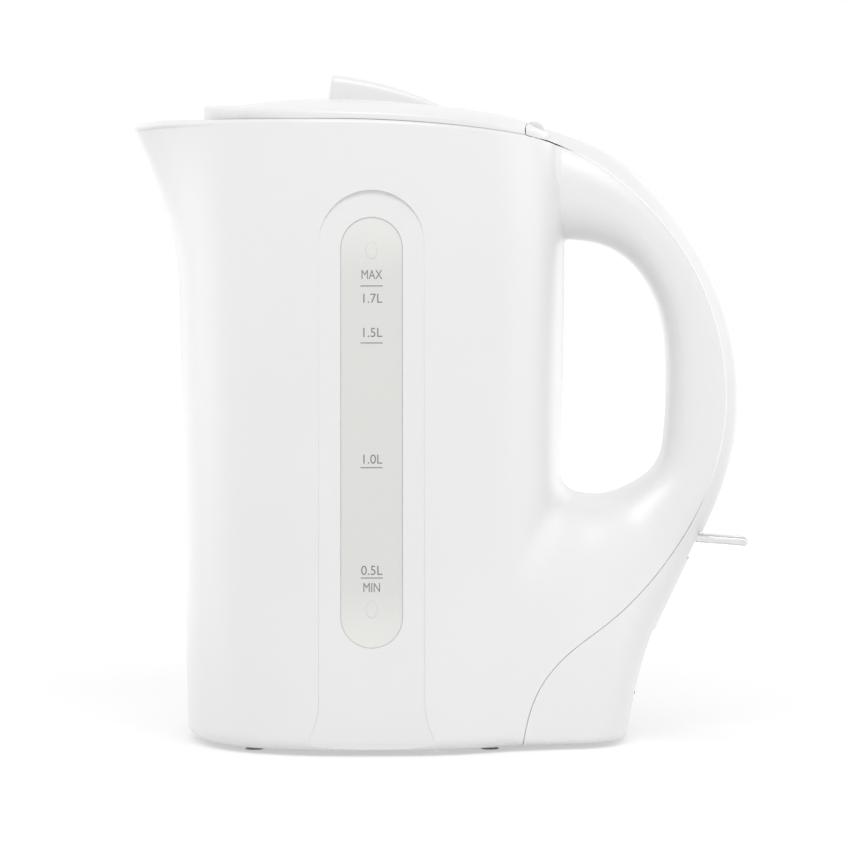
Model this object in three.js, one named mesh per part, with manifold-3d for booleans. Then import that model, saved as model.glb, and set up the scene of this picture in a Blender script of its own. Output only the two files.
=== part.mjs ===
// Corded electric jug kettle, about 1.7 litres, as an assembly of separate pieces.
// Millimetres. +Z is up, the spout points to -X, the handle to +X, and the gauges look along -Y and +Y.
// The pieces are drawn about the jug's own axis; the last group moves the origin to the middle of the
// footprint, on the surface that the kettle stands on.
import * as THREE from "three";
import { mergeVertices } from "three/addons/utils/BufferGeometryUtils.js";
import Module from "manifold-3d";

const wasm = await Module();
wasm.setup();

// ---- Driving dimensions -----------------------------------------------------------------------------

// Jug shell
const FOOT_HEIGHT = 1.9; // skirt's lower edge over the surface
const RIM_HEIGHT = 223.7; // rim over the surface, along the sides
const BASE_HALF_LENGTH = 67.0;
const TOP_HALF_LENGTH = 69.9;
const BASE_HALF_WIDTH = 65.5;
const TOP_HALF_WIDTH = 48.5;
const BASE_SQUARENESS = 2.5; // superellipse exponent of the outline
const TOP_SQUARENESS = 2.15;
const LENGTH_TAPER_HEIGHT = 160; // height at which the jug reaches its full length
const REAR_PULL = 4.2; // how far the back of the jug draws in at the rim
const REAR_PULL_RISE = 43.7; // height below the rim over which it draws in
const BASE_EDGE_RADIUS = 4.0;
const WALL = 3.0;
const FLOOR_TOP = 22.0;
const FLOOR_THICKNESS = 2.6;
const FLOOR_CORNER = 7.0;
const SKIRT_THICKNESS = 5.8;

// Spout
const SPOUT_REACH = 17.1;
const SPOUT_RISE = 58.7; // height below the rim over which the wall leans out
const SPOUT_CURVE = 1.6;
const SPOUT_HALF_WIDTH = 19;
const SPOUT_DROP = 1.8; // tip below the rim
const SPOUT_DROP_LENGTH = 14;

// Rim and lid
const RIM_FALL = 5.4; // drop of the rim from its level part to the lid joint
const RIM_LEVEL_END = -15;
const LID_JOINT_X = 54.9; // joint between the lid and the rear cover
const LID_FRONT = 60.8; // lid's front edge ahead of the jug axis
const LID_EDGE = 2.6; // height of the lid's upright edge along the sides
const LID_FRONT_EDGE = 5.6;
const CROWN_HEIGHT = 8.3; // top of the dome over the rim
const CROWN_X = -25;
const CROWN_FALL = 7.4; // drop of the crown line from its top to the joint
const CROWN_FRONT_FALL = 2.3;
const LID_SKIN = 2.4;
const LID_INSET = 0.6;
const LID_ROUND = 0.5; // rounding of the lid's upper edge
const TAB_FRONT_X = -15.6;
const TAB_LENGTH = 40;
const TAB_HEIGHT = 8.6; // top of the thumb tab over the dome
const TAB_HALF_WIDTH = 9.0;
const BAFFLE_DEPTH = 8;
const BAFFLE_INSET = 9.5;
const BAFFLE_SKIN = 2;
const BAFFLE_SEAT_SCALE = 0.88; // share of the lid's outline at which the tray meets its underside

// Lid hinge
const HINGE_X = 58.5;
const HINGE_RISE = 1.6; // hinge pin over the rim at the joint
const BARREL_RADIUS = 3.6;
const BARREL_HALF_LENGTH = 11;
const HINGE_EAR_THICKNESS = 2.0;
const LID_REAR_GAP = 1.1; // open joint behind the lid, beside the hinge
const HINGE_PIN_RADIUS = 1.5;

// Gauge
const PANEL_HALF_WIDTH = 18.6;
const PANEL_DROP = 25.2; // top of the panel's arch below the rim
const PANEL_ARCH = 19;
const PANEL_DEPTH = 1.3;
const PANEL_FLARE_HEIGHT = 24;
const PANEL_FLARE = 5.2;
const GAUGE_HALF_WIDTH = 10.9;
const GAUGE_BOTTOM = 38;
const GAUGE_DROP = 9.5; // top of the window below the top of the panel
const GAUGE_THICKNESS = 2.2;
const GAUGE_STEP = 0.5; // window face below the panel
const GAUGE_FLANGE = 3.0;
const GASKET_THICKNESS = 1.0;

// Handle and rear housing
const HANDLE_HALF_WIDTH = 14;
const HOUSING_HALF_WIDTH = 45;
const GRIP_SQUARENESS = 2.5;
const HOUSING_SQUARENESS = 3.1;
const GRIP_WALL = 2.4;
const ROOT_Z = 88; // top of the housing where it meets the jug's back wall
const ROOT_RADIUS = 11;
const ROOT_HALF_WIDTH = 6;
const HOUSING_TOP = 93; // above it the handle stretches with the jug
const DRAWN_RIM_HEIGHT = 223.7; // rim that the handle's points are given for
const HOUSING_FLOOR = 2.6;
const GRIP_BOTTOM_ROUND = 1.8;

// Filter
const FILTER_X = -65.2;
const FILTER_HALF_WIDTH = 15.5;
const FILTER_HEIGHT = 42;
const FILTER_DROP = 2.7; // top of the filter below the rim
const FILTER_THICKNESS = 2.4;
const FILTER_BORDER = 2.6;
const FILTER_COLUMNS = 3;
const FILTER_ROWS = 5;
const MESH_BAR = 0.9;

// Heating element
const HEAD_Z = 45;
const HEAD_RADIUS = 20;
const HEAD_FLANGE = 2.5;
const HEAD_BOSS_RADIUS = 13.6;
const GASKET_RING = 1.4;
const SEAT_INNER_X = 62.4; // flat inner face of the seat in the jug's back wall
const SEAT_OUTER_X = 67.6;
const TUBE_RADIUS = 3.3;
const TUBE_LEAD_Y = 8;
const ELEMENT_HEIGHT = 31;
const ELEMENT_REACH_X = 46;
const ELEMENT_REACH_Y = 44;

// Control
const CONTROL_HALF_WIDTH = 19;
const CONTROL_BOTTOM = 14;
const CONTROL_TOP = 70;
const CONTROL_DEPTH = 14;
const CONTROL_WALL = 2;
const CONTROL_COVER = 2;
const INLET_Z = 28;
const INLET_HALF_WIDTH = 14; // opening of the inlet, half its width
const INLET_HALF_HEIGHT = 10;
const INLET_WALL = 1.6;
const INLET_END_X = 95.2;
const PIN_WIDTH = 2;
const PIN_HEIGHT = 4;
const PIN_SPACING = 7;
const PIN_OFFSET = 2; // live and neutral below, earth above the inlet's middle
const PIN_LENGTH = 20;
const PIN_BLOCK = 8; // half height of the block that holds the pins

// Switch
const LEVER_X = 100;
const LEVER_Z = 72.5;
const LEVER_TIP_X = 136.9;
const LEVER_HALF_WIDTH = 7.5;
const LEVER_THICKNESS = 3.3;
const LEVER_SLOPE = 4.5; // degrees that the paddle falls towards its tip
const LEVER_PIN_RADIUS = 1.5;
const HUB_RADIUS = 4.2;
const CARRIAGE_Z = 60;

// Steam port in the jug's back wall
const STEAM_PORT_DROP = 22.2; // its middle below the rim
const STEAM_PORT_HALF_WIDTH = 6;
const STEAM_PORT_HALF_HEIGHT = 3.5;

// Small parts
const GAP = 0.3; // clearance between pieces that touch or seat
const SCREW_RADIUS = 1.5;
const SCREW_HEAD_RADIUS = 2.9;
const SCREW_HEAD_HEIGHT = 1.3;
const FOOT_RADIUS = 6;
const FOOT_ANGLE = 43.6; // degrees from the length of the base to each foot
const FOOT_INSET = 13.03; // middle of a foot inside the base's outline
const BASE_SCREW_INSET_X = 19;
const BASE_SCREW_INSET_Y = 19.5;
const BASE_SCREW_REAR_X = 24;
const BASE_PLATE = 3.0;

// Facets
const JUG_SEGMENTS = 36;
const FRONT_CROWDING = 0.35; // closer facets round the spout
const GRIP_SEGMENTS = 20;
const ROUND_SEGMENTS = 20;
const SEAM_STEPS = 22;

// ---- Solids -----------------------------------------------------------------------------------------

const V3 = (x, y, z) => new THREE.Vector3(x, y, z);

// A closed geometry as a solid that can be joined and cut.
function solid(geometry) {
  const bare = new THREE.BufferGeometry();
  bare.setAttribute("position", geometry.getAttribute("position").clone());
  if (geometry.index) bare.setIndex(geometry.index.clone());
  const merged = mergeVertices(bare, 1e-4);
  return new wasm.Manifold(
    new wasm.Mesh({
      numProp: 3,
      vertProperties: new Float32Array(merged.attributes.position.array),
      triVerts: new Uint32Array(merged.index.array),
    }),
  );
}

// A solid as a named mesh.
function piece(name, shape, material) {
  const made = shape.getMesh();
  const geometry = new THREE.BufferGeometry();
  const count = made.vertProperties.length / made.numProp;
  const position = new Float32Array(count * 3);
  for (let i = 0; i < count; i++)
    position.set(made.vertProperties.subarray(i * made.numProp, i * made.numProp + 3), i * 3);
  geometry.setAttribute("position", new THREE.BufferAttribute(position, 3));
  geometry.setIndex(new THREE.BufferAttribute(new Uint32Array(made.triVerts), 1));
  geometry.computeVertexNormals();
  const mesh = new THREE.Mesh(geometry, material);
  mesh.name = name;
  return mesh;
}

// A skin over rings of equal length, closed at both ends by a fan.
function loft(rings) {
  const count = rings[0].length;
  const points = rings.flat();
  const faces = [];
  for (let r = 0; r + 1 < rings.length; r++) {
    for (let i = 0; i < count; i++) {
      const a = r * count + i;
      const b = r * count + ((i + 1) % count);
      faces.push(a, b, b + count, a, b + count, a + count);
    }
  }
  for (const [first, flip] of [[0, true], [(rings.length - 1) * count, false]]) {
    const ring = points.slice(first, first + count);
    const centre = ring.reduce((sum, p) => sum.add(p), V3(0, 0, 0)).divideScalar(count);
    const middle = points.push(centre) - 1;
    for (let i = 0; i < count; i++) {
      const a = first + i;
      const b = first + ((i + 1) % count);
      faces.push(...(flip ? [middle, b, a] : [middle, a, b]));
    }
  }
  const geometry = new THREE.BufferGeometry().setFromPoints(points);
  geometry.setIndex(faces);
  const made = solid(geometry);
  if (made.volume() > 0) return made;
  for (let i = 0; i < faces.length; i += 3) [faces[i + 1], faces[i + 2]] = [faces[i + 2], faces[i + 1]];
  geometry.setIndex(faces);
  return solid(geometry);
}

function box(x0, x1, y0, y1, z0, z1) {
  const geometry = new THREE.BoxGeometry(x1 - x0, y1 - y0, z1 - z0);
  geometry.translate((x0 + x1) / 2, (y0 + y1) / 2, (z0 + z1) / 2);
  return solid(geometry);
}

// A cylinder from a to b along one axis: "x", "y" or "z".
function rod(axis, centre, radius, a, b, segments = ROUND_SEGMENTS) {
  const geometry = new THREE.CylinderGeometry(radius, radius, b - a, segments);
  geometry.translate(0, (a + b) / 2, 0);
  if (axis === "x") geometry.rotateZ(-Math.PI / 2);
  if (axis === "z") geometry.rotateX(Math.PI / 2);
  geometry.translate(...centre);
  return solid(geometry);
}

// An outline in the XZ plane, drawn through from y0 to y1.
function slabXZ(outline, y0, y1) {
  const shape = new THREE.Shape(outline.map(([x, z]) => new THREE.Vector2(x, z)));
  const geometry = new THREE.ExtrudeGeometry(shape, { depth: y1 - y0, bevelEnabled: false });
  geometry.rotateX(Math.PI / 2);
  geometry.translate(0, y1, 0);
  return solid(geometry);
}

// An outline in the YZ plane, drawn through from x0 to x1.
function slabYZ(shape, x0, x1) {
  const options = { depth: x1 - x0, bevelEnabled: false, curveSegments: 5 };
  const geometry = new THREE.ExtrudeGeometry(shape, options);
  geometry.rotateZ(Math.PI / 2);
  geometry.rotateY(Math.PI / 2);
  geometry.translate(x0, 0, 0);
  return solid(geometry);
}

function roundedRect(halfWidth, halfHeight, radius, cy = 0, cz = 0) {
  const shape = new THREE.Shape();
  const [w, h, r] = [halfWidth, halfHeight, radius];
  shape.absarc(cy + w - r, cz + h - r, r, 0, Math.PI / 2);
  shape.absarc(cy - w + r, cz + h - r, r, Math.PI / 2, Math.PI);
  shape.absarc(cy - w + r, cz - h + r, r, Math.PI, 1.5 * Math.PI);
  shape.absarc(cy + w - r, cz - h + r, r, 1.5 * Math.PI, 2 * Math.PI);
  return shape;
}

function sweep(points, radius, steps, sides = 8) {
  const path = new THREE.CatmullRomCurve3(points);
  const section = new THREE.Shape();
  section.absarc(0, 0, radius, 0, 2 * Math.PI);
  return new THREE.ExtrudeGeometry(section, { steps, curveSegments: sides, extrudePath: path });
}

const join = (...shapes) => shapes.reduce((all, s) => all.add(s));
const cut = (shape, ...tools) => tools.reduce((left, s) => left.subtract(s), shape);
const steps = (from, to, count) =>
  Array.from({ length: count + 1 }, (_, i) => from + ((to - from) * i) / count);

// ---- Heights that follow the rim --------------------------------------------------------------------

const REAR_PULL_START = RIM_HEIGHT - REAR_PULL_RISE;
const SPOUT_START = RIM_HEIGHT - SPOUT_RISE;
const CROWN_TOP = RIM_HEIGHT + CROWN_HEIGHT;
const TAB_TOP = CROWN_TOP + TAB_HEIGHT;
const HINGE_Z = RIM_HEIGHT - RIM_FALL + HINGE_RISE;
const PANEL_TOP = RIM_HEIGHT - PANEL_DROP;
const GAUGE_TOP = PANEL_TOP - GAUGE_DROP;
const FILTER_TOP = RIM_HEIGHT - FILTER_DROP;
const FILTER_BOTTOM = FILTER_TOP - FILTER_HEIGHT;
const STEAM_PORT_Z = RIM_HEIGHT - STEAM_PORT_DROP;

// Height of a point of the handle: as drawn up to the housing's top, then stretched up to the rim.
const lift = (z) =>
  z + ((RIM_HEIGHT - DRAWN_RIM_HEIGHT) * Math.max(0, z - HOUSING_TOP)) / (DRAWN_RIM_HEIGHT - HOUSING_TOP);

// ---- The jug's form ---------------------------------------------------------------------------------

const frontHalf = (z) =>
  BASE_HALF_LENGTH + (TOP_HALF_LENGTH - BASE_HALF_LENGTH) * Math.min(Math.max(z, 0) / LENGTH_TAPER_HEIGHT, 1);
const rearHalf = (z) =>
  frontHalf(z) - REAR_PULL * Math.max(0, (z - REAR_PULL_START) / (RIM_HEIGHT - REAR_PULL_START)) ** 2;
const halfWidth = (z) => BASE_HALF_WIDTH + (TOP_HALF_WIDTH - BASE_HALF_WIDTH) * (z / RIM_HEIGHT);
const squareness = (z) => BASE_SQUARENESS + (TOP_SQUARENESS - BASE_SQUARENESS) * (z / RIM_HEIGHT);
const spoutReach = (z) =>
  SPOUT_REACH * Math.max(0, (z - SPOUT_START) / (RIM_HEIGHT - SPOUT_START)) ** SPOUT_CURVE;

const jugAngles = () =>
  steps(0, 2 * Math.PI, JUG_SEGMENTS).slice(0, -1).map((angle) => angle + FRONT_CROWDING * Math.sin(angle));
// Radius of a superellipse with half axes a and b at an angle.
const polar = (angle, a, b, n) =>
  ((Math.abs(Math.cos(angle)) / a) ** n + (Math.abs(Math.sin(angle)) / b) ** n) ** (-1 / n);

// The jug's outline at height z, moved in by inset.
function jugRing(z, inset) {
  return jugAngles().map((angle) => {
    const front = Math.cos(angle) < -1e-9;
    const length = (front ? frontHalf(z) : rearHalf(z)) - inset;
    const width = halfWidth(z) - inset;
    const radius = polar(angle, length, width, squareness(z));
    const y = radius * Math.sin(angle);
    const lean = front ? spoutReach(z) * Math.exp(-((y / SPOUT_HALF_WIDTH) ** 2)) : 0;
    return V3(radius * Math.cos(angle) - lean, y, z);
  });
}

// Height of the rim along X: level over the sides, lower at the spout tip and towards the handle.
function rimAt(x) {
  const rear = Math.max(0, (x - RIM_LEVEL_END) / (LID_JOINT_X - RIM_LEVEL_END));
  const tip = Math.min(1, Math.max(0, (-x - TOP_HALF_LENGTH - 2) / SPOUT_DROP_LENGTH));
  return RIM_HEIGHT - RIM_FALL * rear ** 2 - SPOUT_DROP * tip ** 1.4;
}

// Height of the lid's crown line along X.
function crownAt(x) {
  const rear = Math.max(0, (x - CROWN_X) / (LID_JOINT_X - CROWN_X));
  const front = Math.max(0, (CROWN_X - x) / (LID_FRONT + CROWN_X));
  return CROWN_TOP - CROWN_FALL * rear ** 2 - CROWN_FRONT_FALL * front ** 2;
}

const ABOVE = TAB_TOP + 30;
const FAR = 2 * RIM_HEIGHT;

function jugOuter(inset = 0) {
  const rounding = steps(0, 1, 3).slice(0, -1).map((t) => {
    const angle = (t * Math.PI) / 2;
    const z = FOOT_HEIGHT + BASE_EDGE_RADIUS * (1 - Math.cos(angle));
    return jugRing(z, inset + BASE_EDGE_RADIUS * (1 - Math.sin(angle)));
  });
  const levels = [
    ...steps(FOOT_HEIGHT + BASE_EDGE_RADIUS, SPOUT_START, 4),
    ...steps(SPOUT_START, RIM_HEIGHT + 6, 7).slice(1),
  ];
  return loft([...rounding, ...levels.map((z) => jugRing(z, inset))]);
}

function jugCavity() {
  const corner = steps(0, 1, 3).slice(0, -1).map((t) => {
    const angle = (t * Math.PI) / 2;
    const z = FLOOR_TOP + FLOOR_CORNER * (1 - Math.cos(angle));
    return jugRing(z, WALL + FLOOR_CORNER * (1 - Math.sin(angle)));
  });
  const levels = [
    ...steps(FLOOR_TOP + FLOOR_CORNER, SPOUT_START, 3),
    ...steps(SPOUT_START, RIM_HEIGHT + 8, 6).slice(1),
  ];
  return loft([...corner, ...levels.map((z) => jugRing(z, WALL))]);
}

const outer = jugOuter();
const cavity = jugCavity();

// Rim and handle seam, as one curve seen from the side.
const SEAM_KEYS = [
  [LID_JOINT_X - 0.6, rimAt(LID_JOINT_X)], [70, lift(213.8)], [92, lift(199.7)], [111, lift(178.8)],
  [124.6, lift(149)], [127.9, lift(120)], [120, 87.3], [107.7, 66.7], [86, 45.4], [69.5, 33.5], [59.5, 22], [54.4, 8], [52.5, -4],
];
const seam = new THREE.SplineCurve(SEAM_KEYS.map(([x, z]) => new THREE.Vector2(x, z)));

// Everything outside the seam, moved out by a clearance.
function outsideSeam(clearance) {
  const line = seam.getPoints(SEAM_STEPS).map((p, i, all) => {
    const before = all[Math.max(i - 1, 0)];
    const after = all[Math.min(i + 1, all.length - 1)];
    const along = after.clone().sub(before).normalize();
    return [p.x - along.y * clearance, p.y + along.x * clearance];
  });
  const start = line[0];
  const end = line[line.length - 1];
  return slabXZ([[start[0], ABOVE], ...line, [end[0], -30], [FAR, -30], [FAR, ABOVE]], -FAR, FAR);
}

// Everything above the rim, shifted up by a clearance.
function aboveRim(clearance) {
  const line = steps(-100, LID_JOINT_X, 20).map((x) => [x, rimAt(x) + clearance]);
  const rear = seam.getPoints(SEAM_STEPS).slice(1, 5).map((p) => [p.x, p.y + clearance]);
  const last = rear[rear.length - 1];
  return slabXZ([...line, ...rear, [last[0], ABOVE], [-100, ABOVE]], -FAR, FAR);
}

// ---- Handle and rear housing ------------------------------------------------------------------------

// Stations round the loop: outer x, z, inner x, z, half width. The last ones spread into the housing.
const STATIONS = [
  [55, lift(223.6), 50, lift(180), HANDLE_HALF_WIDTH - 0.5],
  [90, lift(209.5), 83, lift(179.2), HANDLE_HALF_WIDTH - 0.2],
  [115.5, lift(182.8), 100.6, lift(164), HANDLE_HALF_WIDTH],
  [130.7, lift(148.5), 106.8, lift(141), HANDLE_HALF_WIDTH],
  [132.9, lift(111), 106.2, lift(111.5), HANDLE_HALF_WIDTH],
  [120.9, 75, 95, 92.8, HANDLE_HALF_WIDTH + 2],
  [115.3, 64, 84, 88.7, HANDLE_HALF_WIDTH + 4.2],
  [110.2, 53.5, 72, 88.4, 0.48 * HOUSING_HALF_WIDTH],
  [105.4, 44, 58, 84, 0.59 * HOUSING_HALF_WIDTH],
  [98.3, 27, 44, 58, 0.82 * HOUSING_HALF_WIDTH],
  [92.8, 3.8, 34, 3.8, HOUSING_HALF_WIDTH],
];
const outerLine = new THREE.SplineCurve(STATIONS.map((s) => new THREE.Vector2(s[0], s[1])));
const innerLine = new THREE.SplineCurve(STATIONS.map((s) => new THREE.Vector2(s[2], s[3])));
const widthLine = new THREE.SplineCurve(STATIONS.map((s, i) => new THREE.Vector2(i, s[4])));

function gripRing(t, inset, drop = 0) {
  const from = innerLine.getPoint(t);
  const to = outerLine.getPoint(t);
  const along = to.clone().sub(from);
  const reach = along.length() / 2 - inset;
  const middle = to.clone().add(from).multiplyScalar(0.5);
  along.normalize();
  const width = widthLine.getPoint(t).y - inset;
  return steps(0, 2 * Math.PI, GRIP_SEGMENTS).slice(0, -1).map((angle) => {
    const power = 2 / (GRIP_SQUARENESS + (HOUSING_SQUARENESS - GRIP_SQUARENESS) * t ** 4);
    const u = Math.sign(Math.cos(angle)) * Math.abs(Math.cos(angle)) ** power;
    const v = Math.sign(Math.sin(angle)) * Math.abs(Math.sin(angle)) ** power;
    return V3(middle.x + along.x * reach * u, width * v, middle.y + along.y * reach * u - drop);
  });
}

const outerGrip = loft([
  ...steps(0, 1, 22).map((t) => gripRing(t, 0)),
  gripRing(1, GRIP_BOTTOM_ROUND, GRIP_BOTTOM_ROUND),
]);
const innerGrip = loft(steps(0.03, 1, 16).map((t) => gripRing(t, GRIP_WALL))).intersect(
  box(0, FAR, -FAR, FAR, FOOT_HEIGHT + HOUSING_FLOOR, ABOVE),
);
const hollow = innerGrip.subtract(outer);

// Fillet in the corner between the jug's back wall and the top of the housing.
function rootFillet() {
  const wallX = rearHalf(ROOT_Z) - 1;
  const centre = wallX - 14;
  const ring = (z, x, width) => jugAngles().map((angle) => {
    const radius = polar(angle, x - centre, width, 2);
    return V3(centre + radius * Math.cos(angle), radius * Math.sin(angle), z);
  });
  const spread = (a) => ROOT_RADIUS * (1 - Math.sin(a));
  const curve = steps(0, Math.PI / 2, 5).map((a) =>
    ring(ROOT_Z + ROOT_RADIUS * (1 - Math.cos(a)), wallX + spread(a), ROOT_HALF_WIDTH + 0.5 * spread(a)));
  return loft([ring(ROOT_Z - 8, wallX + ROOT_RADIUS, ROOT_HALF_WIDTH + 0.5 * ROOT_RADIUS), ...curve]);
}

// ---- Lid form ---------------------------------------------------------------------------------------

// The lid's outline from above at a scale of its half axes; scale 1 is its edge.
function lidRing(scale, inset, height) {
  return steps(0, 2 * Math.PI, JUG_SEGMENTS).slice(0, -1).map((angle) => {
    const front = Math.cos(angle) < -1e-9;
    const length = ((front ? LID_FRONT : rearHalf(RIM_HEIGHT) - LID_INSET) - inset) * scale;
    const width = (TOP_HALF_WIDTH - LID_INSET - inset) * scale;
    const radius = polar(angle, length, width, TOP_SQUARENESS);
    const x = radius * Math.cos(angle);
    return V3(x, radius * Math.sin(angle), height(x, scale));
  });
}

// Height of the lid's top: an upright edge, then a dome up to the crown line.
function lidTop(x, scale) {
  const nose = Math.max(0, -x / LID_FRONT) ** 4;
  const edge = rimAt(x) + LID_EDGE + (LID_FRONT_EDGE - LID_EDGE) * nose;
  return edge + (crownAt(x) - edge) * Math.max(0, 1 - scale ** 2.8);
}

function cap(lower, drop, inset) {
  const rings = [lidRing(0.5, inset, lower), lidRing(1, inset, lower)];
  for (const scale of [1, 0.98, 0.92, 0.78, 0.5, 0.15])
    rings.push(lidRing(scale, inset, (x) => lidTop(x, scale) - drop - (scale === 1 ? LID_ROUND : 0)));
  return loft(rings);
}

const lidUnder = (x) => rimAt(x) + GAP;
const capOuter = cap(lidUnder, 0, 0);

// ---- Materials --------------------------------------------------------------------------------------

const finish = (color, roughness, metalness = 0, opacity = 1) =>
  new THREE.MeshStandardMaterial({ color, roughness, metalness, opacity, transparent: opacity < 1 });
const WHITE = finish(0xf0f0ef, 0.25);
const INNER_WHITE = finish(0xe6e6e3, 0.4);
const CLEAR = finish(0xe4e4e0, 0.15, 0, 0.6);
const RUBBER = finish(0x4a4a4c, 0.8);
const SILICONE = finish(0xb9b6ae, 0.7);
const STEEL = finish(0xb8bbbe, 0.3, 1);
const BRASS = finish(0xc7a45a, 0.35, 1);
const CONTROL_PLASTIC = finish(0x2c2c2e, 0.5);
const NEON = finish(0xd8794a, 0.2, 0, 0.7);

// ---- Gauge windows and panels -----------------------------------------------------------------------

// Rectangles stacked in height: half width by height, and two depths off the gauge plane.
function stack(heights, half, near, far, side) {
  return loft(heights.map((z) => [
    V3(-half(z), side * near(z), z), V3(half(z), side * near(z), z),
    V3(half(z), side * far(z), z), V3(-half(z), side * far(z), z),
  ]));
}

const panelFace = (z) => halfWidth(z) - PANEL_DEPTH - 0.9 * Math.max(0, 1 - z / PANEL_FLARE_HEIGHT) ** 2;

function panelRecess(side) {
  const archBase = PANEL_TOP - PANEL_ARCH;
  const half = (z) => {
    const arch = Math.sqrt(Math.max(0, 1 - Math.max(0, (z - archBase) / PANEL_ARCH) ** 2));
    const flare = PANEL_FLARE * Math.max(0, 1 - z / PANEL_FLARE_HEIGHT) ** 2;
    return PANEL_HALF_WIDTH * Math.max(arch, 0.04) + flare;
  };
  const heights = [
    ...steps(-1, PANEL_FLARE_HEIGHT, 5),
    ...steps(PANEL_FLARE_HEIGHT, archBase, 3).slice(1),
    ...steps(0, 1, 8).slice(1).map((t) => archBase + PANEL_ARCH * Math.sin((t * Math.PI) / 2)),
  ];
  return stack(heights, half, panelFace, (z) => halfWidth(z) + 8, side);
}

// A stadium standing on end, grown by a margin, between two depths.
function stadium(margin, near, far, side) {
  const radius = GAUGE_HALF_WIDTH + margin;
  const low = GAUGE_BOTTOM + GAUGE_HALF_WIDTH;
  const high = GAUGE_TOP - GAUGE_HALF_WIDTH;
  const half = (z) => {
    const over = Math.max(0, low - z, z - high);
    return Math.max(0.04 * radius, Math.sqrt(Math.max(0, radius ** 2 - over ** 2)));
  };
  const turn = steps(0, 1, 5).map((t) => radius * Math.cos((t * Math.PI) / 2));
  const heights = [
    ...turn.map((d) => low - d), ...steps(low, high, 3).slice(1, -1), ...turn.reverse().map((d) => high + d),
  ];
  return stack(heights, half, near, far, side);
}

const innerFace = (z) => halfWidth(z) - WALL;
const paneFace = (z) => panelFace(z) - GAUGE_STEP;
const flangeFace = (z) => innerFace(z) - GAP - GASKET_THICKNESS - GAP;

function gaugeWindow(side) {
  const pane = stadium(-GAP, (z) => flangeFace(z) - GAUGE_THICKNESS / 2, paneFace, side);
  const flange = stadium(GAUGE_FLANGE, (z) => flangeFace(z) - GAUGE_THICKNESS, flangeFace, side);
  return join(pane, flange);
}

function gaugeGasket(side) {
  const seatFace = (z) => innerFace(z) - GAP;
  const ring = stadium(GAUGE_FLANGE, (z) => seatFace(z) - GASKET_THICKNESS, seatFace, side);
  return cut(ring, stadium(0, () => 10, () => FAR, side));
}

// The wall behind the gauge is made flat so that the flange seats all round.
function gaugeSeat(side) {
  return stadium(GAUGE_FLANGE + 1, () => 20, innerFace, side);
}

// ---- Jug body ---------------------------------------------------------------------------------------

const CONTROL_FRONT_X = SEAT_OUTER_X + GAP + 1.6;
const CONTROL_REAR_X = CONTROL_FRONT_X + CONTROL_DEPTH;
const COVER_REAR_X = CONTROL_REAR_X + GAP + CONTROL_COVER;
const MOUNT_SCREWS = [[-13.6, HEAD_Z + 9], [13.6, HEAD_Z + 9]];
const BASE_SCREW_Y = BASE_HALF_WIDTH - BASE_SCREW_INSET_Y;
const BASE_SCREWS = [
  [BASE_SCREW_INSET_X - BASE_HALF_LENGTH, 0], [BASE_SCREW_REAR_X, BASE_SCREW_Y], [BASE_SCREW_REAR_X, -BASE_SCREW_Y],
];
const BASE_PLATE_BOTTOM = FOOT_HEIGHT + 0.4;
const BASE_PLATE_TOP = BASE_PLATE_BOTTOM + BASE_PLATE;
const FLOOR_BOTTOM = FLOOR_TOP - FLOOR_THICKNESS;

function jugBody() {
  const gripPart = outerGrip.subtract(outsideSeam(0));
  let body = join(outer.subtract(aboveRim(0)), gripPart, rootFillet());
  body = cut(body, hollow);
  const seat = rod("x", [0, 0, HEAD_Z], HEAD_RADIUS + 3, SEAT_INNER_X, SEAT_OUTER_X, 32);
  body = join(cut(body, cavity.subtract(filterRails())), seat);
  body = cut(
    body,
    panelRecess(-1),
    panelRecess(1),
    gaugeSeat(-1),
    gaugeSeat(1),
    stadium(0, () => 20, () => FAR, -1),
    stadium(0, () => 20, () => FAR, 1),
    steamPort(),
    rod("x", [0, 0, HEAD_Z], HEAD_BOSS_RADIUS + GAP, 50, 76, 32),
    ...MOUNT_SCREWS.map(([y, z]) => rod("x", [0, y, z], SCREW_RADIUS + GAP, 50, 76, 10)),
    filterSlot(),
  );
  const under = loft([
    jugRing(-6, SKIRT_THICKNESS),
    jugRing(FLOOR_BOTTOM - 3, SKIRT_THICKNESS),
    jugRing(FLOOR_BOTTOM, SKIRT_THICKNESS + 3),
  ]);
  body = cut(body, under);
  for (const [x, y] of BASE_SCREWS) {
    body = join(body, rod("z", [x, y, 0], 4.2, BASE_PLATE_TOP + GAP, FLOOR_TOP - 1, 12));
    body = cut(body, rod("z", [x, y, 0], SCREW_RADIUS + GAP, 0, 17, 10));
  }
  return body;
}

// The steam port, through the wall and into the hollow of the handle.
function steamPort() {
  const [w, h] = [STEAM_PORT_HALF_WIDTH, STEAM_PORT_HALF_HEIGHT];
  const wall = rearHalf(STEAM_PORT_Z);
  return box(wall - 14, wall + 8, -w, w, STEAM_PORT_Z - h, STEAM_PORT_Z + h);
}

// Upright rails on the throat's walls, with a slot that the filter slides in.
function filterRails() {
  const rail = FILTER_THICKNESS / 2 + GAP + 1.8;
  return cut(
    box(FILTER_X - rail, FILTER_X + rail, -30, 30, FILTER_BOTTOM - 3, RIM_HEIGHT - 4),
    box(FILTER_X - rail - 1, FILTER_X + rail + 1, -FILTER_HALF_WIDTH + 2, FILTER_HALF_WIDTH - 2, 0, ABOVE),
  );
}

function filterSlot() {
  const half = FILTER_THICKNESS / 2 + GAP;
  const width = FILTER_HALF_WIDTH + GAP;
  return box(FILTER_X - half, FILTER_X + half, -width, width, FILTER_BOTTOM - GAP, ABOVE);
}

// ---- Rear cover -------------------------------------------------------------------------------------

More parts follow.
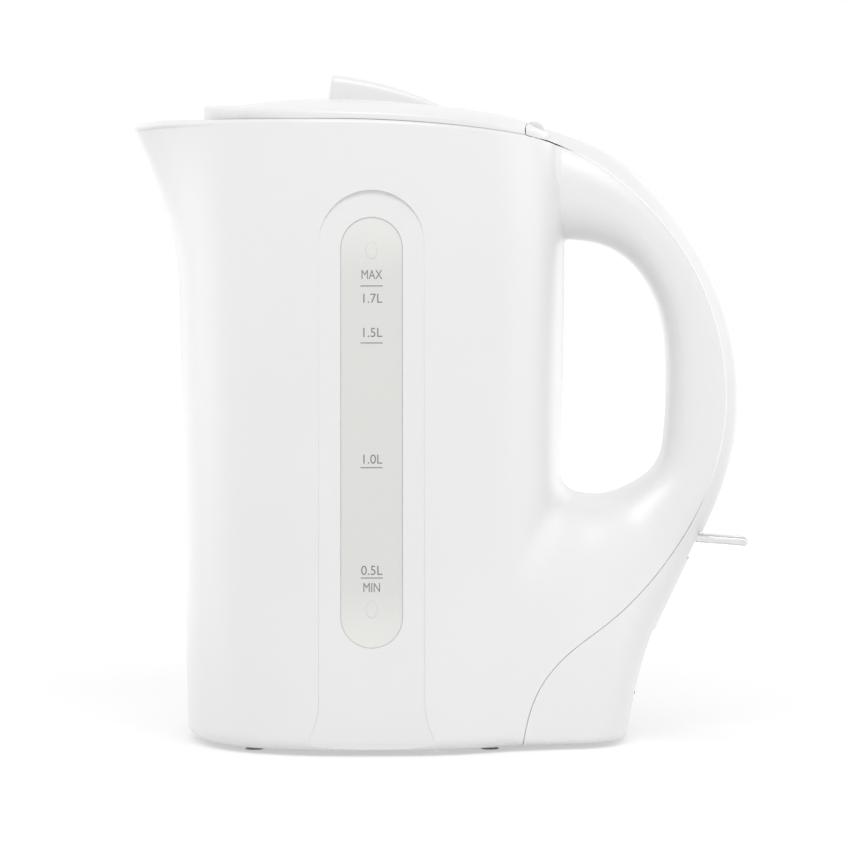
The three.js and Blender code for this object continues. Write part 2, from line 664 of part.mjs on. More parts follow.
function rearCover() {
  const deck = cut(capOuter, box(-FAR, LID_JOINT_X + GAP, -FAR, FAR, 0, ABOVE));
  const jugClear = cut(jugOuter(-GAP), aboveRim(GAP));
  let shell = join(outerGrip.intersect(outsideSeam(GAP)), deck);
  shell = cut(shell, innerGrip, jugClear);
  shell = cut(shell, box(-FAR, LID_JOINT_X + LID_REAR_GAP, -FAR, FAR, HINGE_Z - 30, ABOVE));
  const half = BARREL_HALF_LENGTH + GAP;
  const recess = rod("y", [HINGE_X, 0, HINGE_Z], BARREL_RADIUS + GAP + 0.1, -half, half, 24);
  const throat = box(LID_JOINT_X, HINGE_X, -half, half, HINGE_Z - 10, ABOVE);
  shell = cut(shell, recess, throat);
  for (const side of [-1, 1]) {
    const [a, b] = [side * half, side * (half + HINGE_EAR_THICKNESS)].sort((p, q) => p - q);
    const ear = join(
      rod("y", [HINGE_X, 0, HINGE_Z], 2.6, a, b, 16),
      box(HINGE_X, HINGE_X + 5, a, b, HINGE_Z - 2.4, HINGE_Z + 1.2),
    );
    shell = join(shell, cut(ear, jugClear));
  }
  shell = cut(shell, rod("y", [HINGE_X, 0, HINGE_Z], HINGE_PIN_RADIUS + 0.15, -40, 40, 12));
  const rim = INLET_WALL + GAP;
  const inlet = roundedRect(INLET_HALF_WIDTH + rim, INLET_HALF_HEIGHT + rim, 3, 0, INLET_Z);
  const slotHalf = LEVER_HALF_WIDTH + 0.5;
  const slot = box(LEVER_X + 10, FAR, -slotHalf, slotHalf, LEVER_Z - 7.4, LEVER_Z + 2.2);
  return cut(shell, slabYZ(inlet, CONTROL_REAR_X + 4, FAR), slot);
}

// ---- Lid, hinge and filter --------------------------------------------------------------------------

function lidShell() {
  const reach = box(-FAR, HINGE_X, -FAR, FAR, 0, ABOVE);
  const barrel = rod("y", [HINGE_X, 0, HINGE_Z], BARREL_RADIUS, -BARREL_HALF_LENGTH, BARREL_HALF_LENGTH, 24);
  const under = (x) => lidUnder(x) - 8;
  const room = cap(under, LID_SKIN, LID_SKIN).intersect(box(-FAR, HINGE_X - 8, -FAR, FAR, 0, ABOVE));
  const tabTop = new THREE.QuadraticBezierCurve(
    new THREE.Vector2(TAB_FRONT_X, TAB_TOP),
    new THREE.Vector2(TAB_FRONT_X + 0.55 * TAB_LENGTH, TAB_TOP - 0.3 * TAB_HEIGHT),
    new THREE.Vector2(TAB_FRONT_X + TAB_LENGTH, crownAt(TAB_FRONT_X + TAB_LENGTH) - 0.6),
  ).getPoints(8).map((p) => [p.x, p.y]);
  const foot = CROWN_TOP - LID_SKIN - 1;
  const tab = slabXZ(
    [[TAB_FRONT_X - 1.6, foot], ...tabTop, [TAB_FRONT_X + TAB_LENGTH, foot - 3], [TAB_FRONT_X, foot - 1]],
    -TAB_HALF_WIDTH, TAB_HALF_WIDTH,
  );
  let lid = join(capOuter.intersect(reach), tab);
  lid = cut(lid, room);
  lid = join(lid, barrel);
  const sides = [-1, 1].map((side) => {
    const [a, b] = [side * BARREL_HALF_LENGTH, side * FAR].sort((p, q) => p - q);
    return box(LID_JOINT_X - GAP, FAR, a, b, 0, ABOVE);
  });
  return cut(lid, ...sides, rod("y", [HINGE_X, 0, HINGE_Z], HINGE_PIN_RADIUS + 0.2, -40, 40, 12));
}

// Steam baffle: a shallow tray that plugs the jug's mouth under the lid.
function lidBaffle() {
  const top = (x) => lidTop(x, BAFFLE_SEAT_SCALE) - LID_SKIN - GAP;
  const plan = (inset, height) => lidRing(1, inset, height);
  const tray = loft([
    plan(BAFFLE_INSET, (x) => rimAt(x) - BAFFLE_DEPTH),
    plan(BAFFLE_INSET, top),
  ]);
  const scoop = loft([
    plan(BAFFLE_INSET + BAFFLE_SKIN, (x) => rimAt(x) - BAFFLE_DEPTH + BAFFLE_SKIN),
    plan(BAFFLE_INSET + BAFFLE_SKIN, (x) => top(x) + 5),
  ]);
  const low = RIM_HEIGHT - BAFFLE_DEPTH - 4;
  const vents = [-2, 0, 2].map((k) => box(6 * k - 5.5, 6 * k - 2.5, -14, 14, low, low + BAFFLE_SKIN + 6));
  return cut(tray, scoop, ...vents).intersect(box(-FAR, HINGE_X - 12, -FAR, FAR, 0, ABOVE));
}

function filterFrame() {
  const t = FILTER_THICKNESS / 2;
  const half = FILTER_HALF_WIDTH;
  const frame = box(FILTER_X - t, FILTER_X + t, -half, half, FILTER_BOTTOM, FILTER_TOP);
  const windowHalf = half - FILTER_BORDER;
  const [low, high] = [FILTER_BOTTOM + FILTER_BORDER, FILTER_TOP - 2 * FILTER_BORDER];
  const opening = box(FILTER_X - 5, FILTER_X + 5, -windowHalf, windowHalf, low, high);
  const grip = box(FILTER_X - t - 1.4, FILTER_X - t + 0.2, -5, 5, FILTER_TOP - 2, FILTER_TOP);
  return join(cut(frame, opening), grip);
}

function filterMesh() {
  const half = FILTER_HALF_WIDTH - FILTER_BORDER - GAP;
  const [low, high] = [FILTER_BOTTOM + FILTER_BORDER + GAP, FILTER_TOP - 2 * FILTER_BORDER - GAP];
  const [x0, x1, bar] = [FILTER_X - MESH_BAR / 2, FILTER_X + MESH_BAR / 2, MESH_BAR];
  const uprights = steps(-half, half - bar, FILTER_COLUMNS).map((y) => box(x0, x1, y, y + bar, low, high));
  const rungs = steps(low, high - bar, FILTER_ROWS).map((z) => box(x0, x1, -half, half, z, z + bar));
  return join(...uprights, ...rungs);
}

// ---- Base -------------------------------------------------------------------------------------------

function baseCover() {
  const inset = SKIRT_THICKNESS + GAP;
  const plate = loft([jugRing(BASE_PLATE_BOTTOM, inset), jugRing(BASE_PLATE_TOP, inset)]);
  const holes = BASE_SCREWS.flatMap(([x, y]) => [
    rod("z", [x, y, 0], SCREW_RADIUS + GAP, 0, 20, 10),
    rod("z", [x, y, 0], SCREW_HEAD_RADIUS + GAP, 0, BASE_PLATE_BOTTOM + SCREW_HEAD_HEIGHT + GAP, 14),
  ]);
  return cut(plate, ...holes);
}

const footAngle = (FOOT_ANGLE * Math.PI) / 180;
const footReach = polar(footAngle, BASE_HALF_LENGTH, BASE_HALF_WIDTH, BASE_SQUARENESS) - FOOT_INSET;
const FOOT_X = footReach * Math.cos(footAngle);
const FOOT_Y = footReach * Math.sin(footAngle);
const feet = [[1, 1], [1, -1], [-1, 1], [-1, -1]].map(([sx, sy]) =>
  rod("z", [sx * FOOT_X, sy * FOOT_Y, 0], FOOT_RADIUS, 0, BASE_PLATE_BOTTOM - GAP, 16));

// A pan-head screw: its head from seat towards the outside, its shank the other way.
function screw(axis, centre, seat, sense, length) {
  const ends = (a, b) => [Math.min(a, b), Math.max(a, b)];
  const head = rod(axis, centre, SCREW_HEAD_RADIUS, ...ends(seat, seat + sense * SCREW_HEAD_HEIGHT), 12);
  return join(head, rod(axis, centre, SCREW_RADIUS, ...ends(seat + sense * 0.4, seat - sense * length), 8));
}

// ---- Heating element --------------------------------------------------------------------------------

const FLANGE_REAR_X = SEAT_INNER_X - GAP - GASKET_RING - GAP;
const FLANGE_FRONT_X = FLANGE_REAR_X - HEAD_FLANGE;

function elementHead() {
  const flange = rod("x", [0, 0, HEAD_Z], HEAD_RADIUS, FLANGE_FRONT_X, FLANGE_REAR_X, 32);
  const boss = rod("x", [0, 0, HEAD_Z], HEAD_BOSS_RADIUS, FLANGE_REAR_X - 0.5, SEAT_OUTER_X + GAP, 24);
  return join(flange, boss);
}

function elementGasket() {
  const ring = rod("x", [0, 0, HEAD_Z], HEAD_RADIUS - 0.5, FLANGE_REAR_X + GAP, SEAT_INNER_X - GAP, 32);
  const holes = MOUNT_SCREWS.map(([y, z]) => rod("x", [0, y, z], SCREW_RADIUS + GAP, 50, 76, 10));
  return cut(ring, rod("x", [0, 0, HEAD_Z], HEAD_BOSS_RADIUS + GAP, 50, 76, 32), ...holes);
}

// The sheathed tube leaves the head, drops to the floor of the jug, runs once round it and comes back.
function elementTube() {
  const start = FLANGE_FRONT_X - GAP;
  const lead = [[start, HEAD_Z], [start - 5, HEAD_Z - 0.5], [start - 12, HEAD_Z - 5]];
  const open = (26 * Math.PI) / 180;
  const ring = steps(open, 2 * Math.PI - open, 14).map((a) =>
    V3(-3 + ELEMENT_REACH_X * Math.cos(a), ELEMENT_REACH_Y * Math.sin(a), ELEMENT_HEIGHT));
  const path = [
    ...lead.map(([x, z]) => V3(x, TUBE_LEAD_Y, z)),
    ...ring,
    ...lead.reverse().map(([x, z]) => V3(x, -TUBE_LEAD_Y, z)),
  ];
  return solid(sweep(path, TUBE_RADIUS, 44, 3));
}

// ---- Control ----------------------------------------------------------------------------------------

function controlHousing() {
  const block = box(
    CONTROL_FRONT_X, CONTROL_REAR_X, -CONTROL_HALF_WIDTH, CONTROL_HALF_WIDTH, CONTROL_BOTTOM, CONTROL_TOP,
  );
  const room = box(
    CONTROL_FRONT_X + CONTROL_WALL, CONTROL_REAR_X + 1,
    -CONTROL_HALF_WIDTH + CONTROL_WALL, CONTROL_HALF_WIDTH - CONTROL_WALL,
    CONTROL_BOTTOM + CONTROL_WALL, CONTROL_TOP - CONTROL_WALL,
  );
  const ribHalf = PIN_SPACING + 4;
  const [low, high] = [INLET_Z - PIN_BLOCK, INLET_Z + PIN_BLOCK];
  const rib = box(CONTROL_FRONT_X + 1, CONTROL_FRONT_X + 9, -ribHalf, ribHalf, low, high);
  const guide = box(CONTROL_FRONT_X + 8.5, CONTROL_REAR_X, -9.4, 9.4, CARRIAGE_Z + 5, CONTROL_TOP - 1);
  const posts = MOUNT_SCREWS.map(([y, z]) =>
    rod("x", [0, y, z], 3.4, CONTROL_FRONT_X, CONTROL_FRONT_X + 9, 14));
  const holes = [
    ...MOUNT_SCREWS.map(([y, z]) => rod("x", [0, y, z], SCREW_RADIUS + GAP, 50, 90, 10)),
    ...inletPins(GAP),
  ];
  return cut(join(block.subtract(room), rib, guide, ...posts), ...holes);
}

// Two cheeks carry the lever's pin, a shroud takes the connector, all on one plate.
function controlCover() {
  const front = CONTROL_REAR_X + GAP;
  const [width, height] = [INLET_HALF_WIDTH, INLET_HALF_HEIGHT];
  const half = CONTROL_HALF_WIDTH;
  const plate = box(front, COVER_REAR_X, -half, half, CONTROL_BOTTOM, CONTROL_TOP);
  const shroudSection = roundedRect(width + INLET_WALL, height + INLET_WALL, 2.6, 0, INLET_Z);
  const shroud = slabYZ(shroudSection, front, INLET_END_X);
  const socket = slabYZ(roundedRect(width, height, 1.5, 0, INLET_Z), COVER_REAR_X, INLET_END_X + 2);
  const cheek = (side) => {
    const [a, b] = [side * (LEVER_HALF_WIDTH + 0.7), side * (LEVER_HALF_WIDTH + 2.7)].sort((p, q) => p - q);
    return join(
      box(front, LEVER_X, a, b, CONTROL_TOP - 6, LEVER_Z + 4),
      rod("y", [LEVER_X, 0, LEVER_Z], 4, a, b, 16),
      box(front, COVER_REAR_X, a, b, CONTROL_TOP - 4, LEVER_Z + 4),
    );
  };
  const window = box(front - 1, COVER_REAR_X + 1, -4, 4, CARRIAGE_Z - 4, CARRIAGE_Z + 4.4);
  return cut(
    join(plate, shroud, cheek(-1), cheek(1)),
    socket,
    window,
    rod("y", [LEVER_X, 0, LEVER_Z], LEVER_PIN_RADIUS + 0.15, -40, 40, 12),
    ...inletPins(GAP),
  );
}

// Live and neutral low, earth above and between them; grown by a clearance when they are cut out.
function inletPins(grow) {
  return [[-PIN_SPACING, -PIN_OFFSET], [PIN_SPACING, -PIN_OFFSET], [0, PIN_OFFSET]].map(([y, dz]) => {
    const [w, h] = [PIN_WIDTH / 2 + grow, PIN_HEIGHT / 2 + grow];
    const from = CONTROL_FRONT_X + 4 - grow;
    return box(from, from + PIN_LENGTH + 2 * grow, y - w, y + w, INLET_Z + dz - h, INLET_Z + dz + h);
  });
}

const CARRIAGE_FRONT_X = CONTROL_REAR_X - 4.4;
const CARRIAGE_END_X = COVER_REAR_X + 5.2;

function contactCarriage() {
  return join(
    box(CARRIAGE_FRONT_X, CONTROL_REAR_X - 0.2, -8.6, 8.6, CARRIAGE_Z - 8, CARRIAGE_Z + 4.7),
    box(CONTROL_REAR_X - 1, CARRIAGE_END_X, -3.4, 3.4, CARRIAGE_Z - 3, CARRIAGE_Z + 3),
  );
}

function contactSpring(side) {
  const y = side * PIN_SPACING;
  const x = CONTROL_FRONT_X + 4.4;
  const low = INLET_Z + PIN_BLOCK + GAP;
  const leaf = box(x, x + 0.6, y - 2.2, y + 2.2, low, CARRIAGE_Z + 1);
  const contact = rod("x", [0, y, CARRIAGE_Z - 2], 1.8, x + 0.3, x + 1.6, 10);
  return join(leaf, contact);
}

// C-shaped over-centre leaf beside the carriage, drawn as a strip bent to a half circle.
function toggleSpring() {
  const [cx, cz, r, t] = [CONTROL_FRONT_X + 8, CARRIAGE_Z - 22, 4.2, 0.6];
  const arc = (radius, from, to) =>
    steps(from, to, 9).map((a) => [cx + radius * Math.cos(a), cz + radius * Math.sin(a)]);
  const [from, to] = [0.35 * Math.PI, 1.65 * Math.PI];
  return slabXZ([...arc(r, from, to), ...arc(r - t, to, from)], 12.4, 16.7);
}

function dryBimetal() {
  return rod("x", [0, 0, HEAD_Z], 9, SEAT_OUTER_X + 2 * GAP, SEAT_OUTER_X + 2 * GAP + 0.7, 20);
}

function steamBimetal() {
  const x = (CONTROL_FRONT_X + CONTROL_REAR_X) / 2;
  return rod("z", [x, 0, 0], 6.5, CONTROL_TOP + GAP, CONTROL_TOP + GAP + 0.6, 20);
}

// ---- Switch lever -----------------------------------------------------------------------------------

const NOSE_RADIUS = 1.6;

function switchLever() {
  const hub = rod("y", [LEVER_X, 0, LEVER_Z], HUB_RADIUS, -LEVER_HALF_WIDTH, LEVER_HALF_WIDTH, 20);
  const slope = Math.tan((LEVER_SLOPE * Math.PI) / 180);
  const [half, tip] = [LEVER_THICKNESS / 2, LEVER_TIP_X];
  const middle = (x) => LEVER_Z + 1.4 - slope * (x - LEVER_X);
  const end = steps(-90, 90, 6).map((degrees) => {
    const a = (degrees * Math.PI) / 180;
    return [tip - half + half * Math.cos(a), middle(tip - half) + half * Math.sin(a)];
  });
  const paddle = slabXZ(
    [[LEVER_X, middle(LEVER_X) - half], ...end, [LEVER_X, middle(LEVER_X) + half]],
    -LEVER_HALF_WIDTH, LEVER_HALF_WIDTH,
  );
  const noseX = CARRIAGE_END_X + GAP + NOSE_RADIUS;
  const nose = rod("y", [noseX, 0, CARRIAGE_Z], NOSE_RADIUS, -3, 3, 12);
  const armOutline = [
    [noseX - 1, CARRIAGE_Z], [noseX + 1.4, CARRIAGE_Z - 0.4],
    [LEVER_X + 2.6, LEVER_Z - 2], [LEVER_X - 2.6, LEVER_Z - 1],
  ];
  const bore = rod("y", [LEVER_X, 0, LEVER_Z], LEVER_PIN_RADIUS + 0.2, -40, 40, 12);
  return cut(join(hub, paddle, nose, slabXZ(armOutline, -3, 3)), bore);
}

// ---- Steam tube and lamp ----------------------------------------------------------------------------

function steamTube() {
  const [end, top] = [(CONTROL_FRONT_X + CONTROL_REAR_X) / 2, CONTROL_TOP];
  const points = [
    [71, STEAM_PORT_Z], [84, lift(196.5)], [99, lift(185.5)], [111, lift(168)],
    [118.2, lift(146)], [119, lift(122)], [113.5, lift(100)], [103, top + 17],
    [92, top + 11.5], [82, top + 10], [end + 0.7, top + 7], [end, top + 4.4], [end, top + 1.4],
  ];
  const path = new THREE.CatmullRomCurve3(points.map(([x, z]) => V3(x, 0, z)));
  const ring = (radius) => {
    const section = new THREE.Shape();
    section.absarc(0, 0, radius, 0, 2 * Math.PI);
    return solid(new THREE.ExtrudeGeometry(section, { steps: 18, curveSegments: 3, extrudePath: path }));
  };
  return cut(ring(4), ring(3.1));
}

const CHEEK_INNER_Y = LEVER_HALF_WIDTH + 0.7;
const lamp = () =>
  rod("y", [LEVER_X - 7, 0, LEVER_Z + 1.5], 1.9, GAP - CHEEK_INNER_Y, CHEEK_INNER_Y - GAP, 12);

// ---- Assembly ---------------------------------------------------------------------------------------

const kettle = new THREE.Group();
const add = (name, shape, material) => kettle.add(piece(name, shape, material));
const pin = (centre, radius, half) => rod("y", centre, radius, -half, half, 12);

add("jug_body", jugBody(), WHITE);
add("rear_cover", rearCover(), WHITE);
add("lid_shell", lidShell(), WHITE);
add("lid_baffle", lidBaffle(), INNER_WHITE);
add("lid_hinge_pin", pin([HINGE_X, 0, HINGE_Z], HINGE_PIN_RADIUS, BARREL_HALF_LENGTH + 2), STEEL);
add("gauge_window_near", gaugeWindow(-1), CLEAR);
add("gauge_window_far", gaugeWindow(1), CLEAR);
add("gauge_gasket_near", gaugeGasket(-1), SILICONE);
add("gauge_gasket_far", gaugeGasket(1), SILICONE);
add("filter_frame", filterFrame(), INNER_WHITE);
add("filter_mesh", filterMesh(), STEEL);
add("base_cover", baseCover(), INNER_WHITE);
feet.forEach((foot, i) => add("foot_" + (i + 1), foot, RUBBER));
BASE_SCREWS.forEach(([x, y], i) =>
  add("base_screw_" + (i + 1), screw("z", [x, y, 0], BASE_PLATE_BOTTOM + SCREW_HEAD_HEIGHT, -1, 10), STEEL));
add("element_tube", elementTube(), STEEL);
add("element_head", elementHead(), BRASS);
add("element_gasket", elementGasket(), SILICONE);
add("control_housing", controlHousing(), CONTROL_PLASTIC);
add("control_cover", controlCover(), CONTROL_PLASTIC);
MOUNT_SCREWS.forEach(([y, z], i) =>
  add("control_screw_" + (i + 1), screw("x", [0, y, z], CONTROL_FRONT_X + 9 + GAP, 1, 16), STEEL));
inletPins(0).forEach((shape, i) => add(["pin_live", "pin_neutral", "pin_earth"][i], shape, BRASS));
add("contact_carriage", contactCarriage(), CONTROL_PLASTIC);
add("contact_spring_live", contactSpring(-1), BRASS);
add("contact_spring_neutral", contactSpring(1), BRASS);
add("toggle_spring", toggleSpring(), STEEL);
add("dry_boil_bimetal", dryBimetal(), STEEL);
add("steam_bimetal", steamBimetal(), STEEL);
add("switch_lever", switchLever(), CLEAR);
add("lever_pin", pin([LEVER_X, 0, LEVER_Z], LEVER_PIN_RADIUS, LEVER_HALF_WIDTH + 2.6), STEEL);
add("indicator_lamp", lamp(), NEON);
add("steam_tube", steamTube(), SILICONE);

// The origin goes to the middle of the footprint: half way between the spout's tip and the lever's.
const spoutTip = -(frontHalf(RIM_HEIGHT - SPOUT_DROP) + spoutReach(RIM_HEIGHT - SPOUT_DROP));
kettle.position.x = -(LEVER_TIP_X + spoutTip) / 2;

export default kettle;
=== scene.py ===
"""Electric jug kettle: fine surfaces, finishes, a pale stage and a camera round the frame."""

import math

import bpy
import numpy as np
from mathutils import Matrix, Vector


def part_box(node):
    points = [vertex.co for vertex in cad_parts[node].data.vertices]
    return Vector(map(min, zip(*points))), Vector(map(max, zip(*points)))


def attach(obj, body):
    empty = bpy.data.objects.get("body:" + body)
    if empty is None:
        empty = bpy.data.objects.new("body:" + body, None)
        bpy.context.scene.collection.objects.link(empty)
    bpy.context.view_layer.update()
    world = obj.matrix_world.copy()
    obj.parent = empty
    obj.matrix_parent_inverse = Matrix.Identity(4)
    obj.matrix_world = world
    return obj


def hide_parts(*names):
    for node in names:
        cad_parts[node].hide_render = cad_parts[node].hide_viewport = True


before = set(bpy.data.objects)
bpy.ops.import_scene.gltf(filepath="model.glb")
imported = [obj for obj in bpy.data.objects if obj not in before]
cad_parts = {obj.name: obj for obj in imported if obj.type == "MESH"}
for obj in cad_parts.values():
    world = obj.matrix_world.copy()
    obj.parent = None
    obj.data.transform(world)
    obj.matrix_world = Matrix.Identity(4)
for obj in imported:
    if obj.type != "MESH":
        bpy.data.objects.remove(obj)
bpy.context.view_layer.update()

bl_info = {
    "name": "Electric Jug Kettle",
    "version": (1, 0, 0),
    "blender": (4, 5, 0),
    "location": "View3D > Sidebar > Kettle",
    "description": "Builds a corded electric jug kettle, its finishes and a plain studio",
    "category": "Object",
}

MM = 0.001


def middle(node):
    """The middle of a frame node's box, in millimetres."""
    low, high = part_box(node)
    return np.array([(a + b) / 2 / MM for a, b in zip(low, high)])


def extent(node):
    """Lowest and highest corner of a frame node's box, in millimetres about the jug's axis."""
    return [np.array(corner) / MM - [SHIFT, 0, 0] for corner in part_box(node)]


# The forms are worked out in millimetres about the jug's own axis, 58.5 mm ahead of the hinge pin.
HINGE_X = 58.5
SHIFT = middle("lid_hinge_pin")[0] - HINGE_X
HINGE_Z = middle("lid_hinge_pin")[2]
LEVER_X, LEVER_Z = middle("lever_pin")[[0, 2]] - [SHIFT, 0]
FILTER_X = middle("filter_mesh")[0] - SHIFT
HEAD_Z = middle("element_head")[2]
MOUNT_SCREWS = [middle(f"control_screw_{i}")[1:] for i in (1, 2)]
# Gap where two pieces meet, a length that reaches past every piece, and a height over everything.
CLEAR = 0.12
FAR = 240.0
SKY = FAR + 40
# Radii about the hinge pin: the rear cover's rounded ends, the lid's barrel and its bore.
KNUCKLE = 3.7
BARREL = 3.6
PIN_BORE = 1.7
# Half lengths along the hinge pin: the lid's barrel, the room for it, the ears and the pin's hole.
BARREL_END = 11.0
ROOM_END = 11.3
EAR_END = 13.3
PIN_END = 13.7
# The two sides, as the sign of y and a word.
SIDES = (-1, "near"), (1, "far")
# Points round the outlines of the jug and the lid, and how closely the jug's crowd at the spout.
OUTLINE = 160
CROWDING = 0.35
# Height under which the handle's sections stay as they are at the foot, and a distance well off
# the handle.
SECTION_FOOT = 3.9
OFF_HANDLE = 40.0
# Where the rear starts, ahead of which the handle isn't looked for.
REAR_START = 30
# How far the jug's outer form goes over its rim before the rim is cut, and the rear cover's.
JUG_OVER, COVER_OVER = 4.0, 0.25
# Top of the housing's floor over the foot of the jug.
HOUSING_FLOOR = 2.6


# ---- Sizes and colours ----


def length(name, description, millimetres):
    """A length property, shown in the scene's unit."""
    return bpy.props.FloatProperty(
        name=name,
        description=description,
        default=millimetres * MM,
        unit="LENGTH",
        subtype="DISTANCE",
    )


def number(name, description, default):
    """A plain number property."""
    return bpy.props.FloatProperty(name=name, description=description, default=default)


def colour(name, description, default):
    """A colour property, as linear red, green and blue."""
    return bpy.props.FloatVectorProperty(
        name=name, description=description, default=default, subtype="COLOR", size=3, min=0, max=1
    )


class KettleJug(bpy.types.PropertyGroup):
    """Sizes of the jug and its spout."""

    foot: length("Foot height", "Skirt's lower edge over the surface", 1.9)
    rim: length("Rim height", "Rim over the surface, along the sides", 223.7)
    base_length: length("Base half length", "Half the jug's length at its foot", 67.0)
    top_length: length("Top half length", "Half the jug's length at its rim", 69.9)
    base_width: length("Base half width", "Half the jug's width at its foot", 65.38)
    top_width: length("Top half width", "Half the jug's width at its rim", 48.5)
    base_square: number("Base squareness", "Superellipse exponent at the foot", 2.5)
    top_square: number("Top squareness", "Superellipse exponent at the rim", 2.15)
    taper: length("Taper height", "Height at which the jug has its full length", 160.0)
    rear_pull: length("Rear pull", "How far the back draws in at the rim", 4.2)
    rear_pull_start: length("Rear pull start", "Height where the back starts to draw in", 180.0)
    edge: length("Base edge radius", "Rounding of the jug's lower edge", 4.0)
    wall: length("Wall", "Thickness of the jug's wall", 3.0)
    floor: length("Floor height", "Top of the jug's floor", 22.0)
    spout: length("Spout reach", "How far the spout leans out at the rim", 17.6)
    spout_start: length("Spout start", "Height where the wall starts to lean out", 165.0)
    spout_curve: number("Spout curve", "Exponent of the spout's lean", 1.6)
    spout_width: length("Spout half width", "Half width of the lean", 19.0)
    spout_drop: length("Spout drop", "Tip of the spout below the rim", 1.2)
    rim_fall: length("Rim fall", "Drop of the rim to the lid joint", 5.4)
    rim_level: length("Rim level end", "Place along the jug where the rim starts to fall", -15.0)
    bead: length("Rim bead", "Radius of the rounded rim", 1.5)


class KettleLid(bpy.types.PropertyGroup):
    """Sizes of the lid."""

    joint: length("Joint place", "Joint between the lid and the rear cover", 54.9)
    front: length("Front", "Lid's front edge ahead of the jug's axis", 60.8)
    edge: length("Edge height", "Upright edge along the sides", 2.6)
    front_edge: length("Front edge height", "Upright edge at the front", 5.6)
    crown: length("Crown height", "Highest point of the dome", 232.0)
    crown_x: length("Crown place", "Where the dome is highest", -25.0)
    crown_fall: length("Crown fall", "Drop of the crown line to the joint", 7.4)
    crown_front_fall: length("Crown front fall", "Drop of the crown line to the front", 2.3)
    fullness: number("Fullness", "How full the dome stays at the hinge", 6.0)
    inset: length("Inset", "Lid's edge inside the jug's outline", 0.95)
    skin: length("Skin", "Thickness of the lid", 2.4)
    tab_front: length("Tab front", "Front face of the thumb tab, at its top", -14.5)
    tab_length: length("Tab length", "Length of the thumb tab", 41.9)
    tab_height: length("Tab height", "Top of the thumb tab over the surface", 240.6)
    tab_width: length("Tab half width", "Half width of the thumb tab", 9.0)


class KettleGauge(bpy.types.PropertyGroup):
    """Sizes of the water gauges and the panels round them."""

    panel_width: length("Panel half width", "Half width of the recessed panel", 18.6)
    panel_top: length("Panel top", "Top of the panel's arch", 198.5)
    arch: length("Arch", "Height of the panel's arch", 19.0)
    depth: length("Panel depth", "Depth of the panel in the wall", 1.3)
    flare_height: length("Flare height", "Height over which the panel spreads at the foot", 20.0)
    flare: length("Flare", "Spread of the panel at the foot", 6.8)
    width: length("Window half width", "Half width of the gauge window", 10.9)
    bottom: length("Window bottom", "Lowest point of the window", 38.0)
    top: length("Window top", "Highest point of the window", 189.0)
    step: length("Window step", "Window's face below the panel", 0.3)


class KettleHandle(bpy.types.PropertyGroup):
    """Sizes of the handle and the housing below it."""

    half_width: length("Half width", "Half width of the handle", 14.0)
    housing: length("Housing half width", "Half width of the housing at its foot", 45.0)
    square: number("Grip squareness", "Superellipse exponent of the handle's section", 2.15)
    housing_square: number(
        "Housing squareness", "Superellipse exponent at the foot of the housing", 3.1
    )
    wall: length("Wall", "Thickness of the handle's shell", 2.4)
    top_blend: length(
        "Top blend", "Reach of the fillet where the handle leaves the jug at the top", 1.6
    )
    root_blend: length("Root blend", "Reach of the fillet at the bottom of the grip opening", 11.0)
    fairing_blend: length(
        "Fairing blend", "Further reach of the fillet along the housing's sides", 5.0
    )


class KettleColours(bpy.types.PropertyGroup):
    """Colours of the finishes."""

    shell: colour("Shell", "Glossy white plastic", (0.80, 0.80, 0.798))
    window: colour("Window", "Milky gauge window", (0.72, 0.72, 0.70))
    clear: colour("Lever", "Clear switch lever", (0.80, 0.81, 0.81))
    marks: colour("Marks", "Printed level marks", (0.23, 0.23, 0.23))
    rubber: colour("Rubber", "Feet", (0.80, 0.80, 0.79))
    silicone: colour("Silicone", "Gaskets and the steam tube", (0.55, 0.53, 0.49))
    steel: colour("Steel", "Pins, screws and the mesh", (0.62, 0.63, 0.64))
    brass: colour("Brass", "Contacts and the element's head", (0.78, 0.58, 0.28))
    control: colour("Control", "Black engineering plastic", (0.035, 0.035, 0.038))
    neon: colour("Lamp", "Indicator lamp", (0.75, 0.28, 0.12))
    floor: colour("Stage", "Floor and backdrop", (0.86, 0.86, 0.86))


GROUPS = {
    "kettle_jug": KettleJug,
    "kettle_lid": KettleLid,
    "kettle_gauge": KettleGauge,
    "kettle_handle": KettleHandle,
    "kettle_colours": KettleColours,
}


class Sizes:
    """The values of one group, with lengths in millimetres."""

    def __init__(self, group):
        values = getattr(bpy.context.scene, group)
        for key, prop in values.bl_rna.properties.items():
            if prop.type == "FLOAT" and not prop.is_array:
                setattr(self, key, getattr(values, key) / (MM if prop.unit == "LENGTH" else 1))


# ---- Curves and form functions ----


class Spline:
    """Smooth curve through keys at given knots: a natural cubic, so that its bend has no jumps."""

    def __init__(self, keys, knots):
        self.keys = np.asarray(keys, float)
        self.knots = np.asarray(knots, float)
        count = len(self.knots)
        gap = np.diff(self.knots)
        system = np.eye(count)
        right = np.zeros_like(self.keys)
        inner = np.arange(1, count - 1)
        system[inner, inner - 1] = gap[:-1]
        system[inner, inner] = 2 * (gap[:-1] + gap[1:])
        system[inner, inner + 1] = gap[1:]
        slope = np.diff(self.keys, axis=0) / gap[:, None]
        right[1:-1] = 6 * np.diff(slope, axis=0)
        self.bend = np.linalg.solve(system, right)

    def at(self, place):
        """Points at places between the first and the last knot."""
        place = np.clip(place, self.knots[0], self.knots[-1])
        i = np.clip(np.searchsorted(self.knots, place, side="right") - 1, 0, len(self.knots) - 2)
        gap = (self.knots[i + 1] - self.knots[i])[..., None]
        b = (place - self.knots[i])[..., None] / gap
        a = 1 - b
        curve = ((a**3 - a) * self.bend[i] + (b**3 - b) * self.bend[i + 1]) * gap**2 / 6
        return a * self.keys[i] + b * self.keys[i + 1] + curve


